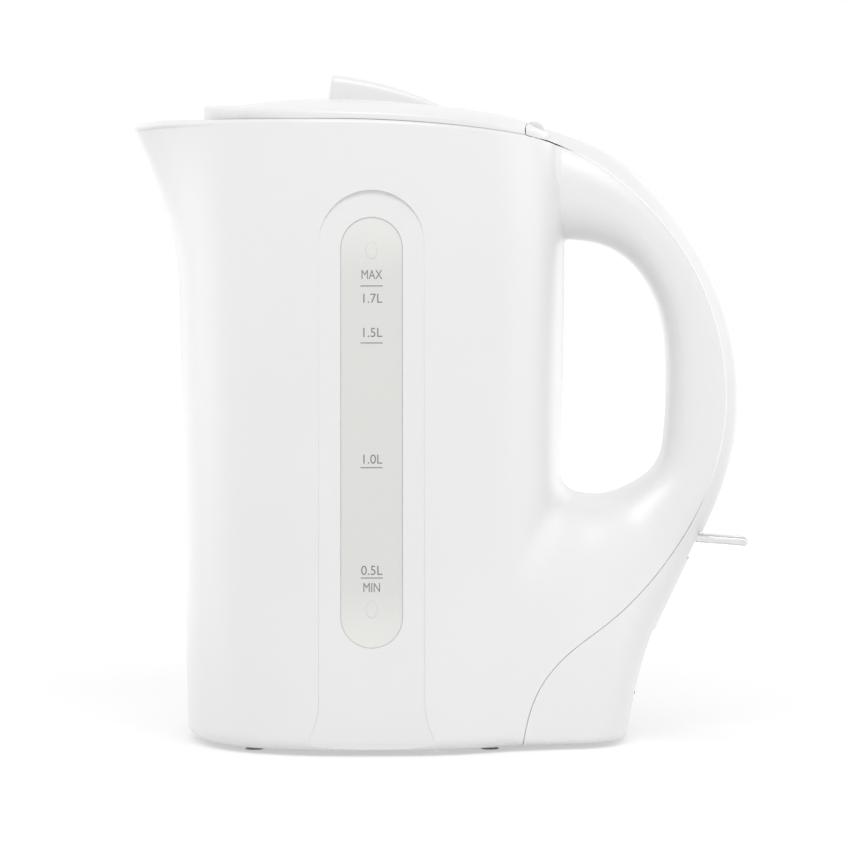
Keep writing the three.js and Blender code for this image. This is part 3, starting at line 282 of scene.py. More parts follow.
def chords(points):
    """Knots from 0 to 1 in step with the distance along the points."""
    run = np.concatenate([[0], np.cumsum(np.hypot(*np.diff(np.asarray(points, float), axis=0).T))])
    return run / run[-1]


def ramp(value, low, high):
    """Smooth step from 0 at low to 1 at high."""
    share = np.clip((value - low) / (high - low), 0, 1)
    return share * share * (3 - 2 * share)


def soft_union(a, b, reach):
    """Lower of two distances, with a fillet of that reach where they are alike."""
    share = np.maximum(reach - np.abs(a - b), 0) / reach
    return np.minimum(a, b) - share**2 * reach / 4


def turns(count, crowding=0.0):
    """Angles round an outline, closer together round the spout."""
    angle = np.linspace(0, 2 * np.pi, count, endpoint=False)
    return angle + crowding * np.sin(angle)


def circle(count, radius=1):
    """Both coordinates of points round a circle."""
    return radius * np.cos(turns(count)), radius * np.sin(turns(count))


def oval(count, power):
    """Both coordinates of points round a circle, squared off as on a superellipse."""
    return [np.sign(part) * np.abs(part) ** (2 / power) for part in circle(count)]


def oval_outline(angle, along, across, power):
    """Both coordinates of a superellipse's points at given angles from its middle."""
    u, v = np.cos(angle), np.sin(angle)
    radius = ((np.abs(u) / along) ** power + (np.abs(v) / across) ** power) ** (-1 / power)
    return radius * u, radius * v


def oval_distance(u, v, power, x, y):
    """Distance of x, y from a superellipse, where u and v are their shares of its half axes."""
    value = (np.abs(u) ** power + np.abs(v) ** power) ** (1 / power)
    return (value - 1) * np.hypot(x, y) / np.maximum(value, 1e-6)


def rounded(a, b, radius):
    """Inside both of two surfaces, with their common edge rounded to a radius."""
    u, v = a + radius, b + radius
    return np.minimum(np.maximum(u, v), 0) + np.hypot(np.maximum(u, 0), np.maximum(v, 0)) - radius


class Form:
    """The kettle's outer form, from the panel's sizes."""

    def __init__(self):
        self.jug, self.lid = Sizes("kettle_jug"), Sizes("kettle_lid")
        self.gauge, self.handle = Sizes("kettle_gauge"), Sizes("kettle_handle")
        wide, foot = self.handle.half_width, self.handle.housing
        # Outer x, z, inner x, z and half width of the handle's sections, from the lid to the foot.
        # Each section's exponent makes a sixth value.
        stations = np.array([
            [55, 223.6, 50, 180, wide - 0.5], [90, 209.5, 83, 179.2, wide - 0.2],
            [115.5, 182.8, 100.6, 164, wide], [130.7, 148.5, 106.8, 141, wide],
            [132.9, 111, 106.2, 111.5, wide], [120.9, 75, 95, 92.8, wide + 2],
            [115.3, 64, 84, 88.7, wide + 4.8], [110.2, 53.5, 72, 88.4, 0.53 * foot],
            [105.4, 44, 58, 84, 0.66 * foot], [98.3, 27, 44, 58, 0.86 * foot],
            [92.8, 3.8, 34, 3.8, foot],
        ])
        share = np.linspace(0, 1, len(stations))
        square = self.handle.square + (self.handle.housing_square - self.handle.square) * share**4
        self.sections = Spline(np.column_stack([stations, square]), chords(stations[:, :2]))
        # x and z of the seam between the jug's half of the handle and the rear cover.
        seam = [
            [self.lid.joint - 0.6, self.rim_at(self.lid.joint)], [70, 213.8], [92, 199.7],
            [111, 178.8], [124.6, 149], [127.9, 120], [120, 87.3], [107.7, 66.7], [86, 45.4],
            [69.5, 33.5], [59.5, 22], [54.4, 8], [52.5, -4],
        ]
        self.seam = Spline(seam, chords(seam))

    def seam_at(self, share):
        """Points along the seam, and the direction there towards the rear cover."""
        line = self.seam.at(share)
        along = np.gradient(line, axis=0)
        along /= np.hypot(*along.T)[:, None]
        return line, np.column_stack([-along[:, 1], along[:, 0]])

    def front_half(self, z):
        """Half length towards the spout: grows in a straight line up to the taper height."""
        j = self.jug
        return j.base_length + (j.top_length - j.base_length) * np.clip(z / j.taper, 0, 1)

    def rear_half(self, z):
        """Half length towards the handle: as the front, drawn in by a parabola near the rim."""
        j = self.jug
        lift = np.maximum(0, (z - j.rear_pull_start) / (j.rim - j.rear_pull_start))
        return self.front_half(z) - j.rear_pull * lift**2

    def half_width(self, z):
        """Half width: a straight taper from foot to rim."""
        return self.jug.base_width + (self.jug.top_width - self.jug.base_width) * z / self.jug.rim

    def squareness(self, z):
        """Superellipse exponent of the outline: a straight change from foot to rim."""
        j = self.jug
        return j.base_square + (j.top_square - j.base_square) * z / j.rim

    def reach(self, y, z):
        """Lean of the spout: a power of the height, and a bell curve across."""
        j = self.jug
        lift = np.maximum(0, (z - j.spout_start) / (j.rim - j.spout_start))
        return j.spout * lift**j.spout_curve * np.exp(-((y / j.spout_width) ** 2))

    def rim_at(self, x):
        """Height of the rim: level over the sides, falling to the handle and at the tip."""
        j = self.jug
        rear = np.maximum(0, (x - j.rim_level) / (self.lid.joint - j.rim_level))
        tip = np.clip((-x - j.top_length - 2) / 14, 0, 1)
        return j.rim - j.rim_fall * rear**2 - j.spout_drop * tip**1.4

    def crown_at(self, x):
        """Height of the lid's crown line: two parabolas that meet at the crown."""
        lid = self.lid
        rear = np.maximum(0, (x - lid.crown_x) / (lid.joint - lid.crown_x))
        front = np.maximum(0, (lid.crown_x - x) / (lid.front + lid.crown_x))
        return lid.crown - lid.crown_fall * rear**2 - lid.crown_front_fall * front**2

    def jug_ring(self, z, inset, angle):
        """Outline of the jug at height z, moved in: a superellipse, leaned out at the spout."""
        along = np.where(np.cos(angle) < 0, self.front_half(z), self.rear_half(z)) - inset
        x, y = oval_outline(angle, along, self.half_width(z) - inset, self.squareness(z))
        return np.stack([x - np.where(x < 0, self.reach(y, z), 0), y, z + 0 * x], -1)

    def jug_field(self, x, y, z):
        """Distance from the jug's side, positive outside."""
        x = x + np.where(x < 0, self.reach(y, z), 0)
        along = np.where(x < 0, self.front_half(z), self.rear_half(z))
        return oval_distance(x / along, y / self.half_width(z), self.squareness(z), x, y)

    @staticmethod
    def off_section(x, z, s):
        """How far a point lies off a straight section's line, and its share of the way across."""
        half_x, half_z = (s[..., 0] - s[..., 2]) / 2, (s[..., 1] - s[..., 3]) / 2
        off_x, off_z = x - (s[..., 0] + s[..., 2]) / 2, z - (s[..., 1] + s[..., 3]) / 2
        share = (off_x * half_x + off_z * half_z) / (half_x**2 + half_z**2)
        return off_x * half_z - off_z * half_x, share

    def across(self, x, z):
        """Whether a section of the handle runs through x, z, the share across it, and its values.

        Of the straight sections whose line passes through the point, it is the one that the point
        is most nearly inside."""
        batch = 8000
        near = np.flatnonzero(x > REAR_START)
        if len(near) < len(x) or len(x) > batch:
            found, share, s = np.zeros(len(x), bool), np.ones(len(x)), np.ones((len(x), 6))
            for part in np.array_split(near, len(near) // batch + 1):
                if len(part):
                    found[part], share[part], s[part] = self.across(x[part], z[part])
            return found, share, s
        place = np.linspace(0, 1, 241)
        side, share = self.off_section(x[:, None], z[:, None], self.sections.at(place))
        crossed = (side[:, :-1] * side[:, 1:]) <= 0
        badness = np.where(crossed, np.abs(share[:, :-1]), np.inf)
        best = np.argmin(badness, 1)
        row = np.arange(len(x))
        found = np.isfinite(badness[row, best])
        a, b = side[row, best], side[row, best + 1]
        t = place[best] + (place[1] - place[0]) * np.where(found, a / np.where(a == b, 1, a - b), 0)
        step = 1e-4
        for _ in range(2):
            here, ahead, behind = (
                self.off_section(x, z, self.sections.at(t + d))[0] for d in (0, step, -step)
            )
            slope = (ahead - behind) / (2 * step)
            move = np.where(np.abs(slope) > 1, here / np.where(slope == 0, 1, slope), 0)
            t = np.clip(t - move, 0, 1)
        s = self.sections.at(t)
        return found, self.off_section(x, z, s)[1], s

    def grip_field(self, x, y, z, section=None):
        """Distance from the side of the handle and housing: a superellipse across each section."""
        found, share, s = section or self.across(x, np.maximum(z, SECTION_FOOT))
        half = np.hypot(s[..., 0] - s[..., 2], s[..., 1] - s[..., 3]) / 2
        side = oval_distance(share, y / s[..., 4], s[..., 5], share * half, y)
        return np.where(found, side, OFF_HANDLE)

    def outer_field(self, x, y, z, top, section=None):
        """Jug and handle in one, up to a height over the rim.

        The corner at the top of the handle is tight, the fillet round the housing is wide, and the
        lower edge is rounded."""
        h = self.handle
        jug = np.maximum(self.jug_field(x, y, z), z - self.rim_at(x) - top)
        # The fillet widens from the grip opening's middle to its bottom, and again at the housing.
        root, fairing = ramp(-z, -132, -100), ramp(-z, -88, -52)
        reach = h.top_blend + h.root_blend * root + h.fairing_blend * fairing
        side = soft_union(jug, self.grip_field(x, y, z, section), reach)
        # The lower edge gets tighter from the jug to the housing.
        edge = self.jug.edge - 2.2 * ramp(x, 45, 65)
        return rounded(side, self.jug.foot - z, edge)

    def outer_skin(self, name, low, high, cell, top):
        """The outer form between two corners, as a closed piece with its points on the form.

        A flat end just inside the low corner closes what the form would leave open there."""
        wall = low[0] + 1.5

        def on_grid(x, y, z):
            flat_x, flat_z = np.meshgrid(x, np.maximum(z, SECTION_FOOT), indexing="ij")
            found, share, s = self.across(flat_x.ravel(), flat_z.ravel())
            plan = (len(x), 1, len(z))
            section = found.reshape(plan), share.reshape(plan), s.reshape(*plan, s.shape[-1])
            x, y, z = x[:, None, None], y[None, :, None], z[None, None, :]
            return np.maximum(self.outer_field(x, y, z, top, section), wall - x)

        def at_points(p):
            return np.maximum(self.outer_field(*p.T, top), wall - p[:, 0])

        points, faces = skin(on_grid, low, high, cell)
        return place(name, settle(points, at_points), faces)


# ---- Meshes ----


def into_scene(name, data):
    """A new object in the scene, round a mesh, a lamp or a camera."""
    thing = bpy.data.objects.new(name, data)
    bpy.context.scene.collection.objects.link(thing)
    return thing


def from_points(name, points, faces):
    """A new object in the scene, from points in metres."""
    mesh = bpy.data.meshes.new(name)
    mesh.from_pydata(points.tolist(), [], [list(f) for f in faces])
    return into_scene(name, mesh)


def place(name, points, faces):
    """A new piece in the scene, from points in millimetres about the jug's axis."""
    return from_points(name, (np.asarray(points, float).reshape(-1, 3) + [SHIFT, 0, 0]) * MM, faces)


def grid_faces(rows, columns, closed=True):
    """Four-sided faces over a grid of points, joined round each row when it is closed."""
    steps = columns if closed else columns - 1
    i, k = np.meshgrid(np.arange(rows - 1), np.arange(steps), indexing="ij")
    a = i * columns + k
    b = i * columns + (k + 1) % columns
    return np.stack([a, b, b + columns, a + columns], -1).reshape(-1, 4)


def inside_out(points, triangles):
    """Whether closed triangles enclose a negative volume."""
    corner = np.asarray(points)[triangles]
    return np.einsum("ij,ij->i", corner[:, 0], np.cross(corner[:, 1], corner[:, 2])).sum() < 0


def outward(points, faces):
    """The faces of a closed form, all turned over if they face inwards."""
    triangles = np.array([[f[0], f[i], f[i + 1]] for f in faces for i in range(1, len(f) - 1)])
    return [f[::-1] for f in faces] if inside_out(points, triangles) else faces


def loft(name, rings):
    """Skin over closed rings of equal count, with a fan at each end and its faces outwards."""
    rings = np.asarray(rings, float)
    rows, columns = rings.shape[:2]
    points = np.concatenate([rings.reshape(-1, 3), rings[:1].mean(1), rings[-1:].mean(1)])
    faces = grid_faces(rows, columns).tolist()
    start, end, last = rows * columns, rows * columns + 1, (rows - 1) * columns
    around = np.arange(columns)
    after = (around + 1) % columns
    faces += [[start, b, a] for a, b in zip(around, after)]
    faces += [[end, last + a, last + b] for a, b in zip(around, after)]
    return place(name, points, outward(points, faces))


def block(x0=-FAR, x1=FAR, y0=-FAR, y1=FAR, z0=0, z1=FAR):
    """A box-shaped cutter, which reaches past everything on the sides that aren't given."""
    ring = lambda z: [[x0, y0, z], [x1, y0, z], [x1, y1, z], [x0, y1, z]]
    return loft("cutter", [ring(z0), ring(z1)])


def drum(axis, centre, radius, a, b, count=48):
    """A round cutter from a to b along one axis."""
    u, v = circle(count, radius)
    order = {"x": (2, 0, 1), "y": (1, 2, 0), "z": (0, 1, 2)}[axis]
    rings = [np.stack([u, v, np.full(count, end)], -1)[:, order] for end in (a, b)]
    return loft("cutter", np.array(rings) + np.where(np.arange(3) == "xyz".index(axis), 0, centre))


def slab(outline, low=-FAR, high=FAR):
    """A cutter with an outline of x and z, drawn through from one y to another."""
    outline = np.asarray(outline, float)
    count = len(outline)
    x, z = outline.T
    points = np.concatenate([np.column_stack([x, np.full(count, y), z]) for y in (low, high)])
    ends = [list(range(count))[::-1], list(range(count, 2 * count))]
    faces = grid_faces(2, count).tolist() + ends
    return place("cutter", points, outward(points, faces))


def evaluated(thing):
    """A new mesh of an object, as its modifiers or its letters make it."""
    graph = bpy.context.evaluated_depsgraph_get()
    return bpy.data.meshes.new_from_object(thing.evaluated_get(graph))


def corners_of(mesh):
    """A mesh's points as rows of x, y and z."""
    co = np.empty(len(mesh.vertices) * 3)
    mesh.vertices.foreach_get("co", co)
    return co.reshape(-1, 3)


def discard(piece):
    """Removes a piece with its mesh."""
    mesh = piece.data
    bpy.data.objects.remove(piece)
    bpy.data.meshes.remove(mesh)


def carve(piece, *tools, how="DIFFERENCE"):
    """Cuts a closed piece with closed tools, which are used up."""
    for tool in tools:
        modifier = piece.modifiers.new("carve", "BOOLEAN")
        modifier.solver = "MANIFOLD"
        modifier.operation = how
        modifier.object = tool
        old, piece.data = piece.data, evaluated(piece)
        piece.modifiers.clear()
        bpy.data.meshes.remove(old)
        if not piece.data.polygons:
            raise RuntimeError(f"{piece.name} came out empty when {tool.name} was used on it")
        discard(tool)
    return piece


def join(piece, *tools):
    """Joins closed pieces into the first."""
    return carve(piece, *tools, how="UNION")


def cross(piece, *tools):
    """Keeps of a closed piece what lies inside all the tools."""
    return carve(piece, *tools, how="INTERSECT")


def hinge_drum(radius, a, b, count=48):
    """A round cutter about the hinge pin."""
    return drum("y", [HINGE_X, 0, HINGE_Z], radius, a, b, count)


def lever_drum(radius, reach, count=48):
    """A round cutter about the lever's pin, as far to both sides."""
    return drum("y", [LEVER_X, 0, LEVER_Z], radius, -reach, reach, count)


def smooth(piece, degrees=30):
    """Smooth shading, with edges sharper than an angle kept crisp."""
    piece.data.shade_smooth()
    piece.data.set_sharp_from_angle(angle=math.radians(degrees))
    return piece


def skin(field, low, high, cell):
    """Closed surface where a field is zero.

    The field, a function of x, y and z arrays, is read on a grid. A point stands in each cell that
    the surface passes through, at the mean of its crossings, and a face across each grid edge
    that it crosses."""
    axes = [np.arange(a, b + cell, cell) for a, b in zip(low, high)]
    values = field(*axes)
    inside = values < 0
    shape = np.array(values.shape)
    total = np.zeros((*(shape - 1), 3))
    count = np.zeros(shape - 1)
    crossed = []
    for axis in range(3):
        first = np.moveaxis(values, axis, 0)[:-1]
        second = np.moveaxis(values, axis, 0)[1:]
        change = np.moveaxis((first < 0) != (second < 0), 0, axis)
        where = np.argwhere(change)
        a = values[tuple(where.T)]
        b = values[tuple((where + np.eye(3, dtype=int)[axis]).T)]
        point = where.astype(float)
        point[:, axis] += a / (a - b)
        others = [k for k in range(3) if k != axis]
        for du in (0, 1):
            for dv in (0, 1):
                spot = where.copy()
                spot[:, others[0]] -= du
                spot[:, others[1]] -= dv
                keep = ((spot >= 0) & (spot < shape - 1)).all(1)
                np.add.at(total, tuple(spot[keep].T), point[keep])
                np.add.at(count, tuple(spot[keep].T), 1)
        crossed.append((axis, others, where, inside[tuple(where.T)]))
    number_of = -np.ones(count.shape, int)
    cells = np.argwhere(count > 0)
    number_of[tuple(cells.T)] = np.arange(len(cells))
    points = total[tuple(cells.T)] / count[tuple(cells.T)][:, None]
    points = points * cell + np.array([axis[0] for axis in axes])
    faces = []
    for axis, (u, v), where, starts_inside in crossed:
        corners = []
        for du, dv in ((1, 1), (0, 1), (0, 0), (1, 0)):
            spot = where.copy()
            spot[:, u] -= du
            spot[:, v] -= dv
            corners.append(number_of[tuple(spot.T)])
        quad = np.stack(corners, 1)
        turned = starts_inside if axis != 1 else ~starts_inside
        faces.append(np.where(turned[:, None], quad, quad[:, ::-1]))
    faces = np.concatenate(faces)
    return points, faces[:, ::-1] if inside_out(points, faces[:, :3]) else faces


def settle(points, field, rounds=2, step=0.02):
    """Moves points onto the surface where a field is zero, along its slope."""
    for _ in range(rounds):
        here = field(points)
        slope = np.stack([(field(points + step * unit) - here) / step for unit in np.eye(3)], 1)
        size = np.maximum((slope**2).sum(1), 0.05)
        points = points - np.clip(here / size, -1.5, 1.5)[:, None] * slope
    return points


# ---- Shader arithmetic and finishes ----


def arithmetic(operation, swapped=False):
    """A method of Value that adds a Math node."""
    return lambda self, other: self._math(operation, *((other, self) if swapped else (self, other)))


class Value:
    """A number or colour that comes out of a node. Arithmetic on it adds Math nodes."""

    def __init__(self, tree, socket):
        self.tree, self.socket = tree, socket

    def _math(self, operation, first, second):
        node = self.tree.nodes.new("ShaderNodeMath")
        node.operation = operation
        for slot, item in zip(node.inputs, (first, second)):
            put(self.tree, slot, item)
        return Value(self.tree, node.outputs[0])

    __add__, __radd__ = arithmetic("ADD"), arithmetic("ADD", True)
    __mul__, __rmul__ = arithmetic("MULTIPLY"), arithmetic("MULTIPLY", True)
    __rsub__ = arithmetic("SUBTRACT", True)
    __gt__ = arithmetic("GREATER_THAN")
    power = arithmetic("POWER")

    def between(self, low, high):
        """0 at low, 1 at high, smooth between."""
        step, ends = {"interpolation_type": "SMOOTHSTEP"}, {"From_Min": low, "From_Max": high}
        return add_node(self.tree, "MapRange", step, "Result", Value=self, **ends)


def put(tree, slot, item):
    """Links a socket to a Value, or sets it to a number or a colour."""
    if isinstance(item, Value):
        tree.links.new(item.socket, slot)
    else:
        slot.default_value = (*item, 1) if slot.type == "RGBA" else item


def add_node(tree, kind, settings=(), out=0, **sockets):
    """An output of a new shader node; in a socket's name an underscore stands for a space."""
    node = tree.nodes.new(f"ShaderNode{kind}")
    for key, value in dict(settings).items():
        setattr(node, key, value)
    for key, item in sockets.items():
        put(tree, node.inputs[key.replace("_", " ")], item)
    return Value(tree, node.outputs[out])


def seen_directly(tree):
    """1 for what the camera sees, straight, mirrored or through clear plastic, else 0."""
    seen, mirrored, through = (
        add_node(tree, "LightPath", out=f"Is {kind} Ray")
        for kind in ("Camera", "Glossy", "Transmission")
    )
    return (seen + mirrored + through) > 0.5


class Finish:
    """A material under construction, around one Principled shader."""

    def __init__(self, name, **constants):
        self.material = bpy.data.materials.new(name)
        self.material.use_nodes = True
        self.tree = self.material.node_tree
        self.shader = next(n for n in self.tree.nodes if n.type == "BSDF_PRINCIPLED")
        self.set(**constants)

    def set(self, **sockets):
        """Sets or links the shader's sockets."""
        for key, item in sockets.items():
            put(self.tree, self.shader.inputs[key.replace("_", " ")], item)

    def node(self, *what, **sockets):
        return add_node(self.tree, *what, **sockets)

    def coordinates(self):
        return self.node("TexCoord", (), "Object")

    def axis(self, letter):
        """One of the object coordinates, in metres."""
        return self.node("SeparateXYZ", (), letter, Vector=self.coordinates())

    def noise(self, scale, detail=2.0, roughness=0.5, stretch=(1, 1, 1)):
        """Cloudy pattern from 0 to 1, with a scale in cycles per metre."""
        spot = self.node("Mapping", Vector=self.coordinates(), Scale=stretch)
        return self.node("TexNoise", Vector=spot, Scale=scale, Detail=detail, Roughness=roughness)

    def blend(self, share, first, second):
        """Colour between two colours."""
        node = self.tree.nodes.new("ShaderNodeMix")
        node.data_type = "RGBA"
        # Socket 0 is the share, for numbers and colours alike, and 6 and 7 are the colours.
        for slot, item in ((0, share), (6, first), (7, second)):
            put(self.tree, node.inputs[slot], item)
        return Value(self.tree, node.outputs[2])

    def relief(self, height, depth, strength=1.0, **normal):
        """Surface relief of a depth in metres, on the plain surface or on another Normal."""
        return self.node("Bump", Strength=strength, Distance=depth, Height=height, **normal)

    def soft_edges(self, radius):
        """Normal that rounds each crisp edge to a radius in metres."""
        return self.node("Bevel", {"samples": 6}, Radius=radius)


def shade(value, factor):
    """A colour made lighter or darker."""
    return tuple(min(1.0, channel * factor) for channel in value)


def glossy_shell(name, base, edge=0.0005, roughness=0.28):
    """Glossy moulded plastic: faint clouding, slightly uneven gloss, a shallow moulding wave."""
    f = Finish(name, IOR=1.49, Coat_Weight=1.0, Coat_Roughness=0.32)
    cloud = f.noise(9, 3)
    fine = f.noise(420, 2, 0.6)
    f.set(
        Base_Color=f.blend(cloud.between(0.35, 0.65), shade(base, 0.985), shade(base, 1.01)),
        Roughness=roughness + 0.05 * cloud + 0.03 * fine,
        Normal=f.relief(f.noise(55, 1, 0.4), 0.00006, 0.5, Normal=f.soft_edges(edge)),
    )
    return f.material


def milky_window(name, base):
    """Milky gauge window with a fine haze: its colour is darker over the water space, a painted
    shade of the dim inside behind it, and paler at both ends.
    """
    f = Finish(name, IOR=1.49, Coat_Weight=0.15, Coat_Roughness=0.12)
    z = f.axis("Z")
    # Heights in metres, from the window's ends to where the painted shade of the water space behind
    # is full.
    ends = 1 - z.between(0.040, 0.062) * (1 - z.between(0.166, 0.188))
    haze = f.noise(60, 3, 0.5, (1, 1, 0.25))
    f.set(
        Base_Color=f.blend(ends * 0.7 + haze * 0.15, shade(base, 0.97), shade(base, 1.12)),
        Roughness=0.28 + 0.08 * haze,
        Normal=f.relief(f.noise(900, 2, 0.5), 0.00001, 0.3, Normal=f.soft_edges(0.0006)),
    )
    return f.material


def clear_plastic(name, base):
    """Clear moulded plastic with faint flow marks."""
    f = Finish(name, IOR=1.49, Transmission_Weight=0.92, Base_Color=base)
    flow = f.noise(70, 3, 0.5, (0.3, 1, 1))
    f.set(
        Roughness=0.04 + 0.06 * flow,
        Normal=f.relief(flow, 0.00002, 0.4, Normal=f.soft_edges(0.0004)),
    )
    return f.material


def rubber(name, base):
    """Matt moulded rubber with a fine grain and pale dust."""
    f = Finish(name, IOR=1.5, Specular_IOR_Level=0.3)
    grain = f.noise(2200, 3, 0.6)
    dust = f.noise(90, 4)
    f.set(
        Base_Color=f.blend(dust.between(0.45, 0.75) * 0.35, base, shade(base, 1.15)),
        Roughness=0.75 + 0.15 * grain,
        Normal=f.relief(grain, 0.00004, 0.6),
    )
    return f.material


def silicone(name, base):
    """Soft pale silicone, satin, with slight clouding."""
    f = Finish(name, IOR=1.42, Subsurface_Weight=0.15, Subsurface_Radius=(0.002, 0.0018, 0.0015))
    cloud = f.noise(130, 3)
    f.set(
        Base_Color=f.blend(cloud, shade(base, 0.92), shade(base, 1.06)),
        Roughness=0.5 + 0.1 * cloud,
        Normal=f.relief(f.noise(1500, 2), 0.00002, 0.4),
    )
    return f.material


def metal(name, base, roughness=0.28, brushed=(1, 1, 1)):
    """Bare metal: drawn streaks, small stains that take off some gloss."""
    f = Finish(name, Metallic=1.0)
    streak = f.noise(1400, 3, 0.6, brushed)
    stain = f.noise(110, 4, 0.6)
    f.set(
        Base_Color=f.blend(stain.between(0.45, 0.8) * 0.5, base, shade(base, 0.72)),
        Roughness=roughness + 0.12 * streak + 0.12 * stain.between(0.4, 0.8),
        Normal=f.relief(streak, 0.00001, 0.5),
    )
    return f.material


def control_plastic(name, base):
    """Black glass-filled plastic: low sheen, fine grain, pale scuffs in patches."""
    f = Finish(name, IOR=1.5, Specular_IOR_Level=0.4)
    grain = f.noise(3000, 2, 0.6)
    scuff = f.noise(160, 5, 0.7)
    f.set(
        Base_Color=f.blend(scuff.between(0.58, 0.75) * 0.3, base, shade(base, 3)),
        Roughness=0.42 + 0.16 * grain,
        Normal=f.relief(grain, 0.00003, 0.5, Normal=f.soft_edges(0.0003)),
    )
    return f.material


def lamp_finish(name, base):
    """Neon lamp: amber glass, with paler clouds."""
    f = Finish(name, IOR=1.5, Transmission_Weight=0.5)
    core = f.noise(600, 2)
    f.set(Base_Color=f.blend(core, base, shade(base, 1.4)), Roughness=0.08 + 0.1 * core)
    return f.material


def ink(name, base):
    """Printed ink: flat grey, slightly uneven."""
    f = Finish(name, IOR=1.45)
    speck = f.noise(2500, 2)
    f.set(
        Base_Color=f.blend(speck.between(0.3, 0.7), shade(base, 0.92), shade(base, 1.1)),
        Roughness=0.45 + 0.1 * speck,
    )
    return f.material


# Each finish's maker, name, base colour, how much lighter or darker, and further values.
MAKERS = {
    "shell": (glossy_shell, "white_shell", "shell", 1),
    # The seam beads' lighter shell colour paints a highlight along the seam.
    "bead": (glossy_shell, "white_bead", "shell", 1.16),
    "lid": (glossy_shell, "white_lid", "shell", 1, 0.0007),
    "inner": (glossy_shell, "white_inner", "shell", 0.93, 0.0003, 0.36),
    "window": (milky_window, "milky_window", "window", 1),
    "clear": (clear_plastic, "clear_switch", "clear", 1),
    "rubber": (rubber, "foot_rubber", "rubber", 1),
    "silicone": (silicone, "seal_silicone", "silicone", 1),
    "steel": (metal, "stainless", "steel", 1, 0.24),
    "tube": (metal, "element_sheath", "steel", 0.85, 0.34, (1, 1, 6)),
    "brass": (metal, "brass", "brass", 1, 0.3),
    "control": (control_plastic, "black_control", "control", 1),
    "lamp": (lamp_finish, "neon_lamp", "neon", 1),
    "ink": (ink, "mark_ink", "marks", 1),
}
FINISHES = {}


def finish_of(kind):
    """A finish by name, made when it is first asked for."""
    if kind not in FINISHES:
        maker, name, base, factor, *further = MAKERS[kind]
        colours = bpy.context.scene.kettle_colours
        FINISHES[kind] = maker(name, shade(getattr(colours, base), factor), *further)
    return FINISHES[kind]


def wear(piece, kind):
    """Gives a piece its finish."""
    piece.data.materials.clear()
    piece.data.materials.append(finish_of(kind))


def settle_in(piece, body, kind, slot, *nodes):
    """Gives a piece its finish and its body, and hides the frame nodes that it stands for. The slot
    is not used.
    """
    wear(piece, kind)
    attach(piece, body)
    if nodes:
        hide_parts(*nodes)


# ---- Cutters that the pieces share ----


def quarter(radius, count=7):
    """Steps round a quarter circle from its side to its end: how far in, and how far up."""
    angle = np.linspace(0, np.pi / 2, count)
    return list(zip(radius * (1 - np.sin(angle)), radius * (1 - np.cos(angle))))


def jug_rings(form, name, low, inset, corner, counts, over):
    """A closed form with the jug's outline moved in and its lower edge rounded.

    It goes from a low height to a height over the rim. counts are its rings below and above the
    spout's start."""
    angle = turns(OUTLINE, CROWDING)
    rings = [form.jug_ring(low + up, inset + back, angle) for back, up in quarter(corner)[:-1]]
    start, top = form.jug.spout_start, form.jug.rim + over
    below, above = counts
    heights = [*np.linspace(low + corner, start, below), *np.linspace(start, top, above)[1:]]
    return loft(name, rings + [form.jug_ring(z, inset, angle) for z in heights])


def jug_solid(form, inset=0.0):
    """The jug's outer form on its own."""
    return jug_rings(form, "jug_form", form.jug.foot, inset, form.jug.edge, (24, 26), 6)


def cavity_solid(form):
    """The water space: the jug's outline moved in by the wall, rounded over into the floor."""
    return jug_rings(form, "cavity", form.jug.floor, form.jug.wall, 7.0, (16, 24), 8)


def room_for_jug(form):
    """The jug below its rim, with the gap that the rear cover keeps from it."""
    return carve(jug_solid(form, -CLEAR), above_rim(form, CLEAR, CLEAR))


def beyond_seam(form, clearance):
    """Everything outside the handle's seam, which is one curve seen from the side."""
    line, out = form.seam_at(np.linspace(0, 1, 121))
    line = line + clearance * out
    outline = [[line[0, 0], SKY], *line, [line[-1, 0], -30], [FAR, -30], [FAR, SKY]]
    return slab(outline)


def above_rim(form, clearance, behind=0.0):
    """Everything above the rim, and above the start of the seam behind it."""
    x = np.linspace(-100, form.lid.joint, 90)
    rear = form.seam.at(np.linspace(0.01, 0.16, 12)) + [0, behind]
    rim = np.column_stack([x, form.rim_at(x) + clearance])
    return slab([*rim, *rear, [rear[-1, 0], SKY], [x[0], SKY]])


def grip_solid(form, inset, first=0.0):
    """The handle's form moved in, as rings across each section."""
    rings = []
    for at in np.linspace(first, 1, 60):
        s = form.sections.at(np.array([at]))[0]
        reach = np.hypot(s[0] - s[2], s[1] - s[3]) / 2 - inset
        along = np.array([s[0] - s[2], s[1] - s[3]]) / (2 * (reach + inset))
        u, v = oval(72, s[5])
        centre = np.array([s[0] + s[2], s[1] + s[3]]) / 2
        rings.append(np.column_stack([
            centre[0] + along[0] * reach * u, (s[4] - inset) * v, centre[1] + along[1] * reach * u
        ]))
    return loft("grip_form", rings)


def grip_hollow(form):
    """The hollow of the handle and the housing, over the housing's floor."""
    over_floor = block(x0=0, z0=form.jug.foot + HOUSING_FLOOR)
    return cross(grip_solid(form, form.handle.wall, 0.03), over_floor)


def lid_ring(form, scale, inset, height):
    """The lid's outline from above at a share of its half axes, at a height that depends on x."""
    lid, angle = form.lid, turns(OUTLINE)
    rear = form.rear_half(form.jug.rim) - lid.inset
    along = (np.where(np.cos(angle) < 0, lid.front, rear) - inset) * scale
    across = (form.jug.top_width - lid.inset - inset) * scale
    x, y = oval_outline(angle, along, across, form.jug.top_square)
    return np.column_stack([x, y, height(x)])


def lid_top(form, x, scale):
    """Height of the lid: an upright edge, then a dome up to the crown, fuller near the hinge."""
    lid = form.lid
    nose = np.maximum(0, -x / lid.front) ** 2.2
    edge = form.rim_at(x) + lid.edge + (lid.front_edge - lid.edge) * nose
    power = 2.8 + lid.fullness * ramp(x, 10, lid.joint)
    return edge + (form.crown_at(x) - edge) * np.maximum(0, 1 - scale**power)


